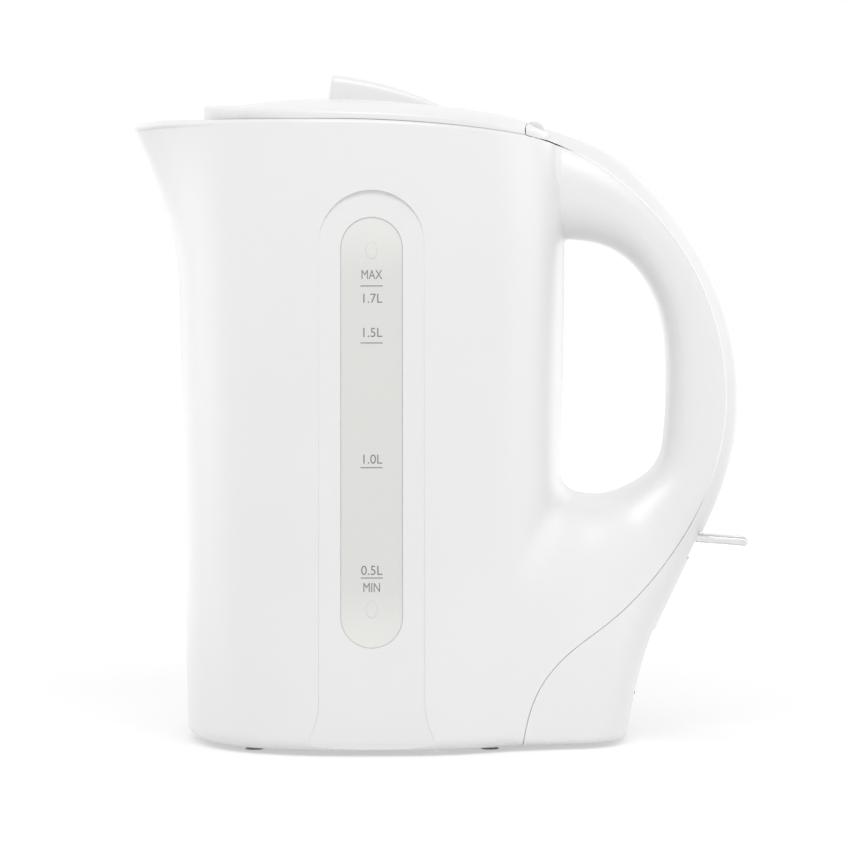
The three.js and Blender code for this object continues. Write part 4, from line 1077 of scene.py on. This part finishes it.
def lid_form(form, under, drop, inset, round_off=0.9):
    """The lid as a closed form: flat below, upright at its edge, rounded over into the dome."""
    rings = [lid_ring(form, scale, inset, under) for scale in (0.5, 1.0)]
    for turn in np.linspace(0, np.pi / 2, 6):
        scale = 1 - round_off * (1 - np.cos(turn)) / form.jug.top_width
        down = drop + round_off * (1 - np.sin(turn))
        rings.append(lid_ring(form, scale, inset, lambda x: lid_top(form, x, scale) - down))
    for scale in (0.97, 0.95, 0.92, 0.88, 0.83, 0.77, 0.7, 0.62, 0.53, 0.43, 0.32, 0.2, 0.08):
        rings.append(lid_ring(form, scale, inset, lambda x: lid_top(form, x, scale) - drop))
    return loft("lid_form", rings)


def panel_face(form, z):
    """Distance of the panel's face from the middle plane: below the wall, deeper at the foot."""
    g = form.gauge
    return form.half_width(z) - g.depth - 0.9 * np.maximum(0, 1 - z / g.flare_height) ** 2


def side_stack(name, heights, halves, near, far, side):
    """Closed form of stacked rectangles: half width, near and far depth at each height."""
    return loft(name, [
        [[-h, side * a, z], [h, side * a, z], [h, side * b, z], [-h, side * b, z]]
        for z, h, a, b in zip(heights, halves, near, far)
    ])


def panel_cutter(form, side):
    """The recess of a gauge panel: straight sides, a half ellipse on top, spread at the foot."""
    g = form.gauge
    base = g.panel_top - g.arch
    z = np.concatenate([
        np.linspace(-1, g.flare_height, 16), np.linspace(g.flare_height, base, 12)[1:],
        base + g.arch * np.sin(np.linspace(0, np.pi / 2, 40)[1:]),
    ])
    arch = np.sqrt(np.maximum(0, 1 - np.maximum(0, (z - base) / g.arch) ** 2))
    flare = g.flare * np.maximum(0, 1 - z / g.flare_height) ** 2
    half = g.panel_width * np.maximum(arch, 0.03) + flare
    return side_stack("panel", z, half, panel_face(form, z), form.half_width(z) + 8, side)


def stadium(form, margin, near, far, side, name="stadium"):
    """The window's outline grown by a margin, between two depths as functions of the height."""
    g = form.gauge
    radius = g.width + margin
    low, high = g.bottom + g.width, g.top - g.width
    bend = radius * np.cos(np.linspace(0, np.pi / 2, 20))
    z = np.concatenate([low - bend, np.linspace(low, high, 12)[1:-1], high + bend[::-1]])
    over = np.maximum(0, np.maximum(low - z, z - high))
    half = np.maximum(0.03 * radius, np.sqrt(np.maximum(0, radius**2 - over**2)))
    return side_stack(name, z, half, near(z) + 0 * z, far(z) + 0 * z, side)


def tube(name, path, radius, sides=14, up=(0, 0, 1)):
    """A round bar along a path: rings across the path's direction, level with a fixed up."""
    path = np.asarray(path, float)
    along = np.gradient(path, axis=0)
    along /= np.linalg.norm(along, axis=1)[:, None]
    across = np.cross(along, up)
    across /= np.linalg.norm(across, axis=1)[:, None]
    lift = np.cross(across, along)
    u, v = (part[None, :, None] for part in circle(sides, radius))
    return loft(name, path[:, None] + u * across[:, None] + v * lift[:, None])


def lathe(name, centre, profile, count=64):
    """A turned form: a profile of radius and height, carried round an upright line."""
    u, v = circle(count)
    return loft(name, [
        np.column_stack([centre[0] + r * u, centre[1] + r * v, np.full(count, z)])
        for r, z in profile
    ])


def merge(name, pieces):
    """Several separate forms as one object."""
    points, faces, start = [], [], 0
    for piece in pieces:
        points.append(corners_of(piece.data))
        faces += [[start + v for v in polygon.vertices] for polygon in piece.data.polygons]
        start += len(piece.data.vertices)
        discard(piece)
    return from_points(name, np.concatenate(points), faces)


# ---- Operators ----


class Step:
    """What the operators share: running one calls its build."""

    def execute(self, context):
        self.build()
        return {"FINISHED"}


class BuildJug(Step, bpy.types.Operator):
    """Builds the jug's shell with the handle's inner half and the housing's front"""

    bl_idname = "kettle.build_jug"
    bl_label = "Jug shell"

    # Places of the bosses under the floor, and the radius of every screw's hole.
    BOSSES = (-48, 0), (24, 46), (24, -46)
    SCREW_BORE = 1.8

    def build(self):
        form = Form()
        j = form.jug
        body = form.outer_skin("jug_shell", (-90.5, -69, -1), (138, 69, j.rim + 7), 1.5, JUG_OVER)
        beyond = carve(beyond_seam(form, 0), jug_solid(form))
        hollow = carve(grip_hollow(form), jug_solid(form))
        carve(body, above_rim(form, -j.bead), beyond, hollow)
        # The water space leaves the filter's rails standing, with the water's way between them.
        rails = carve(
            block(FILTER_X - 3.3, FILTER_X + 3.3, -30, 30, 176, j.rim - 4),
            block(FILTER_X - 5, FILTER_X + 5, -13.5, 13.5),
        )
        carve(body, carve(cavity_solid(form), rails))
        # Flat seat for the element's head in the back wall.
        join(body, drum("x", [0, 0, HEAD_Z], 23, 62.4, 67.6))
        # Panels, the gaskets' seats behind them and the windows' openings.
        inner = lambda z: form.half_width(z) - j.wall
        for side, _ in SIDES:
            carve(
                body,
                panel_cutter(form, side),
                stadium(form, 4.0, lambda z: 20, inner, side),
                stadium(form, 0.0, lambda z: 20, lambda z: FAR, side),
            )
        # Steam opening, bore for the element's head, the mounting screws' holes, filter's slots.
        back = (50, 76)
        carve(body, block(54, 76, -6, 6, 198, 205), drum("x", [0, 0, HEAD_Z], 13.9, *back))
        carve(body, *[drum("x", [0, y, z], self.SCREW_BORE, *back, 20) for y, z in MOUNT_SCREWS])
        carve(body, block(FILTER_X - 1.5, FILTER_X + 1.5, -15.8, 15.8, 178.7))
        # Hollow under the floor, inside the skirt, with bosses for the base cover's screws.
        angle = turns(OUTLINE)
        carve(body, loft("under", [
            form.jug_ring(z, inset, angle) for z, inset in ((-6, 5.8), (16.4, 5.8), (19.4, 8.8))
        ]))
        for x, y in self.BOSSES:
            join(body, drum("z", [x, y, 0], 4.2, 5.6, 21, 24))
            carve(body, drum("z", [x, y, 0], self.SCREW_BORE, 0, 17, 20))
        join(body, self.rim_bead(form), self.seam_lip(form))
        # Beads over the seam, in a lighter colour that paints a highlight along it.
        for side, word in SIDES:
            bead = self.seam_bead(form, side, f"seam_bead_{word}")
            settle_in(smooth(bead), "jug", "bead", "white_plastic")
        settle_in(smooth(body), "jug", "shell", "white_plastic", "jug_body")

    def seam_lip(self, form):
        """Thin lip that bridges the seam just below the surface, from behind its open start."""
        lip = cross(grip_solid(form, 0.5, 0.03), beyond_seam(form, -1.6))
        carve(lip, beyond_seam(form, CLEAR - 0.02), grip_solid(form, 1.9, 0.0))
        return carve(lip, block(x1=71, z0=HINGE_Z - 40), block(z0=-9, z1=4))

    def seam_bead(self, form, side, name):
        """Fine bead over the seam, lighter in colour than the shell to paint a highlight: a bar
        that stands a little out of the surface.

        The surface is found by halving the interval where the outer form's field changes sign."""
        share = np.linspace(0.06, 0.62, 280)
        line, out = form.seam_at(share)
        radius = 0.42 * ramp(share, 0.06, 0.085) * (1 - ramp(share, 0.52, 0.62)) + 0.02
        x, z = (line + out * CLEAR / 2).T
        near, far = np.zeros(len(x)), np.full(len(x), 60.0)
        for _ in range(22):
            half = (near + far) / 2
            outside = form.outer_field(x, half, z, JUG_OVER) > 0
            near, far = np.where(outside, near, half), np.where(outside, half, far)
        path = np.column_stack([x, side * (near - 0.35 * radius), z])
        across = np.column_stack([-out[:, 0], 0 * x, -out[:, 1]])
        u, v = (part[None, :, None] for part in circle(12))
        round_bar = radius[:, None, None] * (u * across[:, None] + v * [0, 1, 0])
        return loft(name, path[:, None] + round_bar)

    def rim_bead(self, form):
        """Rounded top of the wall: a round bar along the rim, as wide as the wall."""
        j = form.jug
        # From one side of the lid's joint round the spout to the other, closer at the spout.
        angle = np.linspace(0.31, 2 * np.pi - 0.31, 300)
        angle = angle + 0.3 * np.sin(angle)
        ring = form.jug_ring(j.rim - 3, j.wall / 2, angle)
        for _ in range(3):
            ring = np.array([
                form.jug_ring(float(form.rim_at(x)) - j.bead, j.wall / 2, np.array([a]))[0]
                for x, a in zip(ring[:, 0], angle)
            ])
        return tube("bead", ring, j.bead, 16)


class BuildCover(Step, bpy.types.Operator):
    """Builds the rear cover: the handle's strip, the housing's back and the deck behind the lid"""

    bl_idname = "kettle.build_cover"
    bl_label = "Rear cover"

    def build(self):
        form = Form()
        lid = form.lid
        cover = form.outer_skin("rear_shell", (49, -60, -1), (138, 60, 229), 1.25, COVER_OVER)
        cross(cover, beyond_seam(form, CLEAR))
        # Deck behind the lid, hollow, with rounded ends and room for the lid's barrel.
        deck = lid_form(form, lambda x: form.rim_at(x) - 1, 0, 0)
        carve(deck, block(x1=lid.joint + CLEAR))
        join(cover, deck)
        carve(cover, grip_solid(form, form.handle.wall, 0.03), room_for_jug(form))
        carve(cover, carve(block(x1=HINGE_X, z0=HINGE_Z - 30), hinge_drum(KNUCKLE, -80, 80, 96)))
        carve(cover, hinge_drum(BARREL + 0.15, -ROOM_END, ROOM_END))
        carve(cover, block(lid.joint, HINGE_X, -ROOM_END, ROOM_END, HINGE_Z - 10))
        # Floor of the housing.
        level = block(x0=0, z0=2.2, z1=form.jug.foot + HOUSING_FLOOR)
        floor = cross(grip_solid(form, 1.0, 0.6), level, beyond_seam(form, CLEAR + 0.6))
        join(cover, carve(floor, room_for_jug(form)))
        # Ears beside the barrel, on short arms, with the pin's hole.
        for a, b in ((-EAR_END, -ROOM_END), (ROOM_END, EAR_END)):
            join(cover, hinge_drum(2.0, a, b, 32))
            join(cover, block(HINGE_X, HINGE_X + 3.4, a, b, HINGE_Z - 2.0, HINGE_Z - 0.2))
        carve(cover, hinge_drum(PIN_BORE - 0.05, -PIN_END, PIN_END, 24))
        carve(cover, self.seam_start(form))
        # Openings for the inlet and for the lever.
        lever_hole = block(LEVER_X + 10, FAR, -8, 8, LEVER_Z - 7.4, LEVER_Z + 2.2)
        carve(cover, self.inlet_hole(), lever_hole)
        settle_in(smooth(cover), "jug", "shell", "white_plastic", "rear_cover")

    def seam_start(self, form):
        """Open wedge where the seam starts: widest in its middle, closed at both ends."""
        line, out = form.seam_at(np.linspace(0.02, 0.055, 24))
        width = 0.16 + 0.3 * np.sin(np.linspace(0, np.pi, 24))
        return slab([*(line - 0.5 * out), *(line + width[:, None] * out)[::-1]])

    def inlet_hole(self):
        """Rounded rectangle through the back, round the connector's shroud."""
        width, height, radius = 15.9, 11.9, 3.0
        centre = middle("pin_live")[2] / 2 + middle("pin_earth")[2] / 2
        u, v = circle(48)
        y = np.sign(u) * (width - radius) + radius * u
        z = centre + np.sign(v) * (height - radius) + radius * v
        return loft("inlet", [np.column_stack([np.full(48, x), y, z]) for x in (88.0, FAR)])


class BuildLid(Step, bpy.types.Operator):
    """Builds the domed lid with its thumb tab and hinge barrel"""

    bl_idname = "kettle.build_lid"
    bl_label = "Lid"

    def build(self):
        form = Form()
        lid = form.lid
        under = lambda x: form.rim_at(x) + CLEAR / 2
        shell = carve(lid_form(form, under, 0, 0), block(x0=HINGE_X))
        join(shell, self.tab(form))
        room = lid_form(form, lambda x: under(x) - 8, lid.skin, lid.skin)
        carve(shell, carve(room, block(x0=HINGE_X - 8)))
        join(shell, hinge_drum(BARREL, -BARREL_END, BARREL_END))
        # Beside the barrel the lid keeps clear of the rear cover's rounded ends.
        for a, b in ((BARREL_END, 60), (-60, -BARREL_END)):
            knuckle = hinge_drum(KNUCKLE + CLEAR, a, b, 96)
            carve(shell, join(knuckle, block(HINGE_X - 2.4, y0=a, y1=b)))
        carve(shell, hinge_drum(PIN_BORE, -PIN_END, PIN_END, 24))
        shell.name = "lid_dome"
        settle_in(smooth(shell), "lid", "lid", "white_plastic", "lid_shell")

    def tab(self, form):
        """Thumb tab: rounded sections across, under a curve that falls into the lid's crown."""
        lid, lean, bevel = form.lid, 0.125, 0.026
        share = np.concatenate([[0.0, 0.006, 0.014, bevel], np.linspace(0.04, 1, 40)])
        start = np.array([lid.tab_front, lid.tab_height])
        bend = start + [0.55 * lid.tab_length, -2.6]
        end_x = lid.tab_front + lid.tab_length
        end = np.array([end_x, form.crown_at(end_x) - 0.6])
        t = share[:, None]
        curve = (1 - t) ** 2 * start + 2 * (t * (1 - t)) * bend + t**2 * end
        foot = np.minimum(form.crown_at(curve[:, 0]) - 3.6, curve[:, 1] - 3.0)
        across, upward = oval(72, 5)
        pull = 0.9 * (1 - np.clip(share / bevel, 0, 1)) ** 2
        rings = []
        for (x, top), low, back in zip(curve, foot, pull):
            z = (top + low) / 2 + ((top - low) / 2 - back * 0.7) * upward
            y = (lid.tab_width - back) * across
            rings.append(np.column_stack([x - lean * (top - z), y, z]))
        return loft("tab", rings)


class BuildGauges(Step, bpy.types.Operator):
    """Builds both gauge windows with their printed level marks"""

    bl_idname = "kettle.build_gauges"
    bl_label = "Water gauges"

    # Letters' size, and their narrowing in plain words and in numbers.
    LETTERS, WORD_WIDTH, NUMBER_WIDTH = 4.65, 0.75, 0.96
    # Half length and half thickness of each line.
    LINE = 3.9, 0.17
    # Heights of the oval gate marks, and their half width and half height.
    OVALS = 51.6, 177.4
    OVAL = 2.1, 3.1
    # Height of the middle of each word, the word, and the height of its line or none.
    MARKS = (
        (168.7, "MAX", 164.9), (160.4, "1.7L", None), (148.4, "1.5L", 144.9),
        (104.0, "1.0L", 101.2), (65.1, "0.5L", 62.6), (59.1, "MIN", None),
    )

    def build(self):
        form = Form()
        for side, word in SIDES:
            self.window(form, side, word)
            self.marks(form, side, word)

    def face(self, form, z):
        return panel_face(form, z) - form.gauge.step

    def window(self, form, side, word):
        """The pane with a flange behind the wall, and two faint oval gate marks."""
        back = lambda z: form.half_width(z) - form.jug.wall - 1.6
        pane = stadium(form, -0.015, lambda z: back(z) - 1.1, lambda z: self.face(form, z), side)
        flange = stadium(form, 3.0, lambda z: back(z) - 2.2, back, side, f"gauge_pane_{word}")
        join(flange, pane)
        settle_in(smooth(flange), "jug", "window", "clear_plastic", f"gauge_window_{word}")
        ovals = []
        for z in self.OVALS:
            u, v = circle(40)
            across, up = self.OVAL[0] * u, z + self.OVAL[1] * v
            path = np.column_stack([across, side * (self.face(form, up) - 0.06), up])
            rings = [
                np.column_stack([path[:, 0] * s, path[:, 1] + side * d, z + (path[:, 2] - z) * s])
                for s, d in ((1.0, -0.3), (1.0, 0.07), (0.92, 0.1), (0.8, 0.08), (0.6, 0.07))
            ]
            ovals.append(loft("oval", rings))
        settle_in(smooth(merge(f"gauge_ovals_{word}", ovals)), "jug", "window", "clear_plastic")

    def marks(self, form, side, word):
        """Words and short lines as thin ink, laid on the window's sloping face."""
        pieces = []
        for z, text, line in self.MARKS:
            curve = bpy.data.curves.new("mark", "FONT")
            curve.body = text
            curve.align_x, curve.align_y = "CENTER", "CENTER"
            curve.size = self.LETTERS
            narrow = self.WORD_WIDTH if text.isalpha() else self.NUMBER_WIDTH
            holder = into_scene("mark", curve)
            flat = evaluated(holder)
            bpy.data.objects.remove(holder)
            bpy.data.curves.remove(curve)
            x, up, _ = corners_of(flat).T
            faces = [list(polygon.vertices) for polygon in flat.polygons]
            bpy.data.meshes.remove(flat)
            pieces.append(self.lay(form, side, narrow * x, z + up, faces))
            if line:
                long, thick = self.LINE
                x, up = long * np.array([-1, 1, 1, -1]), line + thick * np.array([-1, -1, 1, 1])
                pieces.append(self.lay(form, side, x, up, [[0, 1, 2, 3]]))
        settle_in(merge(f"gauge_marks_{word}", pieces), "jug", "ink", "silicone")

    def lay(self, form, side, across, z, faces):
        """Flat faces placed 0.03 mm in front of the window, readable from its side."""
        y = side * (self.face(form, z) + 0.03)
        return place("mark", np.column_stack([-side * across, y, z]), faces)


class BuildSwitch(Step, bpy.types.Operator):
    """Builds the clear rocker paddle with its hub and arm"""

    bl_idname = "kettle.build_switch"
    bl_label = "Switch"

    def build(self):
        # A paddle that slopes down to its rounded tip, a hub on the pin, an arm to the carriage.
        (rear, _, bottom), (tip, half_y, _) = extent("switch_lever")
        slope, half_z = math.tan(math.radians(4.5)), 1.65
        ends = np.cos(np.linspace(0, np.pi / 2, 12))[1:]
        share = np.concatenate([np.linspace(0, 0.94, 30), 1 - 0.06 * ends])
        u, v = oval(56, 7)[0], oval(56, 4)[1]
        rings = []
        for s in share:
            x = LEVER_X + (tip - LEVER_X) * s
            # The tip is rounded off in height and, from a little earlier, in width.
            end = min(max(0.0, (x - (tip - half_z)) / half_z), 1)
            side = min(max(0.0, (x - tip + 2.4) / 2.4), 1)
            shrink = math.sqrt(max(0.0, 1 - end**2))
            corner = 2.0 * (1 - math.sqrt(max(0.0, 1 - side**2)))
            z = LEVER_Z + 1.4 - slope * (x - LEVER_X)
            rings.append(np.column_stack([
                np.full(56, x), (half_y - corner) * u, z + max(half_z * shrink, 0.05) * v
            ]))
        paddle = loft("switch_paddle", rings)
        join(paddle, lever_drum(4.2, 7.5))
        nose_x, nose_z = LEVER_X - 7.0, bottom + 1.6
        arm = slab([
            [nose_x - 1.4, nose_z], [nose_x + 1.2, nose_z - 0.4],
            [LEVER_X + 2.6, LEVER_Z - 2], [LEVER_X - 2.6, LEVER_Z - 1],
        ], -3, 3)
        join(paddle, arm, drum("y", [rear + 1.6, 0, nose_z], 1.6, -3, 3, 24))
        carve(paddle, lever_drum(PIN_BORE, 40, 24))
        settle_in(smooth(paddle), "switch", "clear", "clear_plastic", "switch_lever")


class BuildFilter(Step, bpy.types.Operator):
    """Builds the fine woven mesh of the spout filter"""

    bl_idname = "kettle.build_filter"
    bl_label = "Spout filter mesh"

    def build(self):
        low, high = extent("filter_mesh")
        pitch, radius, wave = 1.05, 0.16, 0.17
        wires = []
        for axis, other in ((1, 2), (2, 1)):
            starts = np.arange(low[other] + 0.5, high[other] - 0.3, pitch)
            count = int((high[axis] - low[axis]) / pitch) * 4
            run = np.linspace(low[axis] + 0.05, high[axis] - 0.05, count)
            for k, start in enumerate(starts):
                path = np.zeros((count, 3))
                over = np.pi * (k + (axis == 2))
                path[:, 0] = FILTER_X + wave * np.sin(np.pi * (run - low[axis]) / pitch + over)
                path[:, axis] = run
                path[:, other] = start
                wires.append(tube("wire", path, radius, 5, up=(1, 0, 0)))
        weave = smooth(merge("filter_weave", wires), 60)
        settle_in(weave, "filter", "steel", "steel", "filter_mesh")


class BuildElement(Step, bpy.types.Operator):
    """Builds the sheathed heating element's loop"""

    bl_idname = "kettle.build_element"
    bl_label = "Heating element"

    def build(self):
        start = extent("element_tube")[1][0]
        # Two leads run from the head down into an oval loop that is open towards the head.
        lead = [[start, HEAD_Z], [start - 5, HEAD_Z - 0.5], [start - 12, HEAD_Z - 5]]
        opening = math.radians(26)
        angle = np.linspace(opening, 2 * np.pi - opening, 15)
        ring = np.column_stack([-3 + 46 * np.cos(angle), 44 * np.sin(angle), np.full(15, 31.0)])
        keys = np.vstack([
            [[x, 8, z] for x, z in lead], ring, [[x, -8, z] for x, z in reversed(lead)]
        ])
        run = np.concatenate([[0], np.cumsum(np.linalg.norm(np.diff(keys, axis=0), axis=1))])
        curve = Spline(keys, run / run[-1])
        sheath = tube("element_sheath", curve.at(np.linspace(0, 1, 260)), 3.3, 20)
        settle_in(smooth(sheath, 60), "jug", "tube", "steel", "element_tube")


class BuildFeet(Step, bpy.types.Operator):
    """Builds the four rubber feet"""

    bl_idname = "kettle.build_feet"
    bl_label = "Feet"

    def build(self):
        for i in (1, 2, 3, 4):
            low, high = extent(f"foot_{i}")
            radius, top = (high[0] - low[0]) / 2, high[2]
            # A dimple in the middle, the face that stands on the surface, the taper, and the rim.
            foot = lathe(f"rubber_foot_{i}", (low + high) / 2, [
                (0.4, 0.45), (2.6, 0.4), (3.0, 0.1), (3.2, 0.0), (radius - 4.2, 0.0),
                (radius - 3.8, 0.2), (radius - 3.6, 1.3), (radius, 1.9), (radius, top - 0.1),
                (radius - 0.1, top), (0.4, top),
            ])
            settle_in(smooth(foot, 40), "jug", "rubber", "rubber", f"foot_{i}")


class DressFrame(Step, bpy.types.Operator):
    """Gives the carried-over frame pieces their finishes"""

    bl_idname = "kettle.dress_frame"
    bl_label = "Carried-over pieces"

    KINDS = {
        "inner": ("lid_baffle", "filter_frame", "base_cover"),
        "silicone": ("gauge_gasket_near", "gauge_gasket_far", "element_gasket", "steam_tube"),
        "steel": (
            "lid_hinge_pin", "lever_pin", "base_screw_1", "base_screw_2", "base_screw_3",
            "control_screw_1", "control_screw_2", "toggle_spring", "dry_boil_bimetal",
            "steam_bimetal",
        ),
        "brass": (
            "element_head", "pin_live", "pin_neutral", "pin_earth", "contact_spring_live",
            "contact_spring_neutral",
        ),
        "control": ("control_housing", "control_cover", "contact_carriage"),
        "lamp": ("indicator_lamp",),
    }

    def build(self):
        for kind, nodes in self.KINDS.items():
            for node in nodes:
                wear(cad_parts[node], kind)


class BuildStudio(Step, bpy.types.Operator):
    """Builds the floor, the lamps, the surroundings and the camera"""

    bl_idname = "kettle.build_studio"
    bl_label = "Studio"

    # Where the lamps point, and each one's name, place, width, height and power, in m and W.
    TARGET = (0, 0, 0.12)
    LAMPS = (
        ("left_soft", (-1.5, 0.3, 0.6), 0.9, 1.3, 3.3),
        ("left_rim_soft", (-1.15, 1.15, 0.6), 1.0, 1.3, 1.3),
        ("right_soft", (1.5, -0.1, 0.7), 0.9, 1.2, 2.9),
        ("right_back_soft", (1.45, 0.5, 0.6), 0.8, 1.3, 0.2),
        ("right_rim_soft", (1.15, 1.15, 0.6), 1.0, 1.3, 2.1),
        ("top_soft", (0, -1.2, 1.5), 1.6, 1.0, 13.0),
    )
    ROOM_STRENGTH = 0.675

    def build(self):
        scene = bpy.context.scene
        scene.view_settings.view_transform = "Standard"
        self.floor()
        self.surroundings(scene)
        for name, spot, width, height, power in self.LAMPS:
            lamp = bpy.data.lights.new(name, "AREA")
            lamp.shape = "RECTANGLE"
            lamp.size, lamp.size_y, lamp.energy = width, height, power
            self.aimed(name, lamp, spot, self.TARGET)
        self.camera(scene)

    @staticmethod
    def aimed(name, data, spot, target):
        """A lamp or a camera at a spot, facing a target."""
        holder = into_scene(name, data)
        holder.location = spot
        holder.rotation_euler = (Vector(target) - Vector(spot)).to_track_quat("-Z", "Y").to_euler()
        return holder

    def camera(self, scene):
        """A long lens from well in front of the near gauge, a little above the middle."""
        data = bpy.data.cameras.new("camera")
        data.sensor_width = 36
        data.lens = 174.5
        data.clip_end = 20
        spot, target = ((4.0 + SHIFT) * MM, -1.5, 0.188), ((19.3 + SHIFT) * MM, 0, 0.1134)
        scene.camera = self.aimed("camera", data, spot, target)

    def floor(self):
        """A wide round floor whose plain colour is lifted to white where it is seen directly."""
        radius, sides = 3, 96
        rim = np.column_stack([*circle(sides, radius), np.zeros(sides)])
        faces = [[sides, i, (i + 1) % sides] for i in range(sides)]
        floor = from_points("floor", np.vstack([rim, [[0, 0, 0]]]), faces)
        base = bpy.context.scene.kettle_colours.floor[:]
        f = Finish("studio_floor", Base_Color=base, Roughness=0.9, Specular_IOR_Level=0.0)
        lift = seen_directly(f.tree)
        out = (f.axis("X").power(2) + f.axis("Y").power(2)).between(0.03, 0.5)
        # Part of the white is given off, not reflected, so that the shadow stays soft and pale.
        f.set(
            Base_Color=f.blend(lift, base, shade(base, 0.6)),
            Emission_Strength=1.0,
            Emission_Color=f.blend(
                lift, (0, 0, 0), f.blend(out, (0.5, 0.5, 0.5), (0.85, 0.85, 0.85))
            ),
        )
        floor.data.materials.append(f.material)

    def surroundings(self, scene):
        """Soft pale room that lights the kettle, and plain white where it is seen directly."""
        world = bpy.data.worlds.new("studio")
        world.use_nodes = True
        scene.world = world
        tree = world.node_tree
        tree.nodes.clear()
        mix, end = (tree.nodes.new(f"ShaderNode{kind}") for kind in ("MixShader", "OutputWorld"))
        room, white = (
            add_node(tree, "Background", Color=(1, 1, 1), Strength=strength)
            for strength in (self.ROOM_STRENGTH, 1.0)
        )
        for slot, item in zip(mix.inputs, (seen_directly(tree), room, white)):
            put(tree, slot, item)
        tree.links.new(mix.outputs[0], end.inputs["Surface"])


class KettlePanel(bpy.types.Panel):
    """Lists the pieces that can be built"""

    bl_idname = "VIEW3D_PT_kettle"
    bl_label = "Kettle"
    bl_space_type = "VIEW_3D"
    bl_region_type = "UI"
    bl_category = "Kettle"

    def draw(self, context):
        for operator in OPERATORS:
            self.layout.operator(operator.bl_idname)
        for name in GROUPS:
            values = getattr(context.scene, name)
            for key in values.__annotations__:
                self.layout.prop(values, key)


OPERATORS = (
    BuildStudio, BuildJug, BuildCover, BuildLid, BuildGauges, BuildSwitch, BuildFilter,
    BuildElement, BuildFeet, DressFrame,
)
CLASSES = (*GROUPS.values(), *OPERATORS, KettlePanel)


def register():
    for item in CLASSES:
        bpy.utils.register_class(item)
    for name, group in GROUPS.items():
        setattr(bpy.types.Scene, name, bpy.props.PointerProperty(type=group))


def unregister():
    for name in GROUPS:
        delattr(bpy.types.Scene, name)
    for item in reversed(CLASSES):
        bpy.utils.unregister_class(item)


def main():
    """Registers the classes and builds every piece."""
    register()
    for operator in OPERATORS:
        group, name = operator.bl_idname.split(".")
        getattr(getattr(bpy.ops, group), name)()


if __name__ == "__main__":
    main()
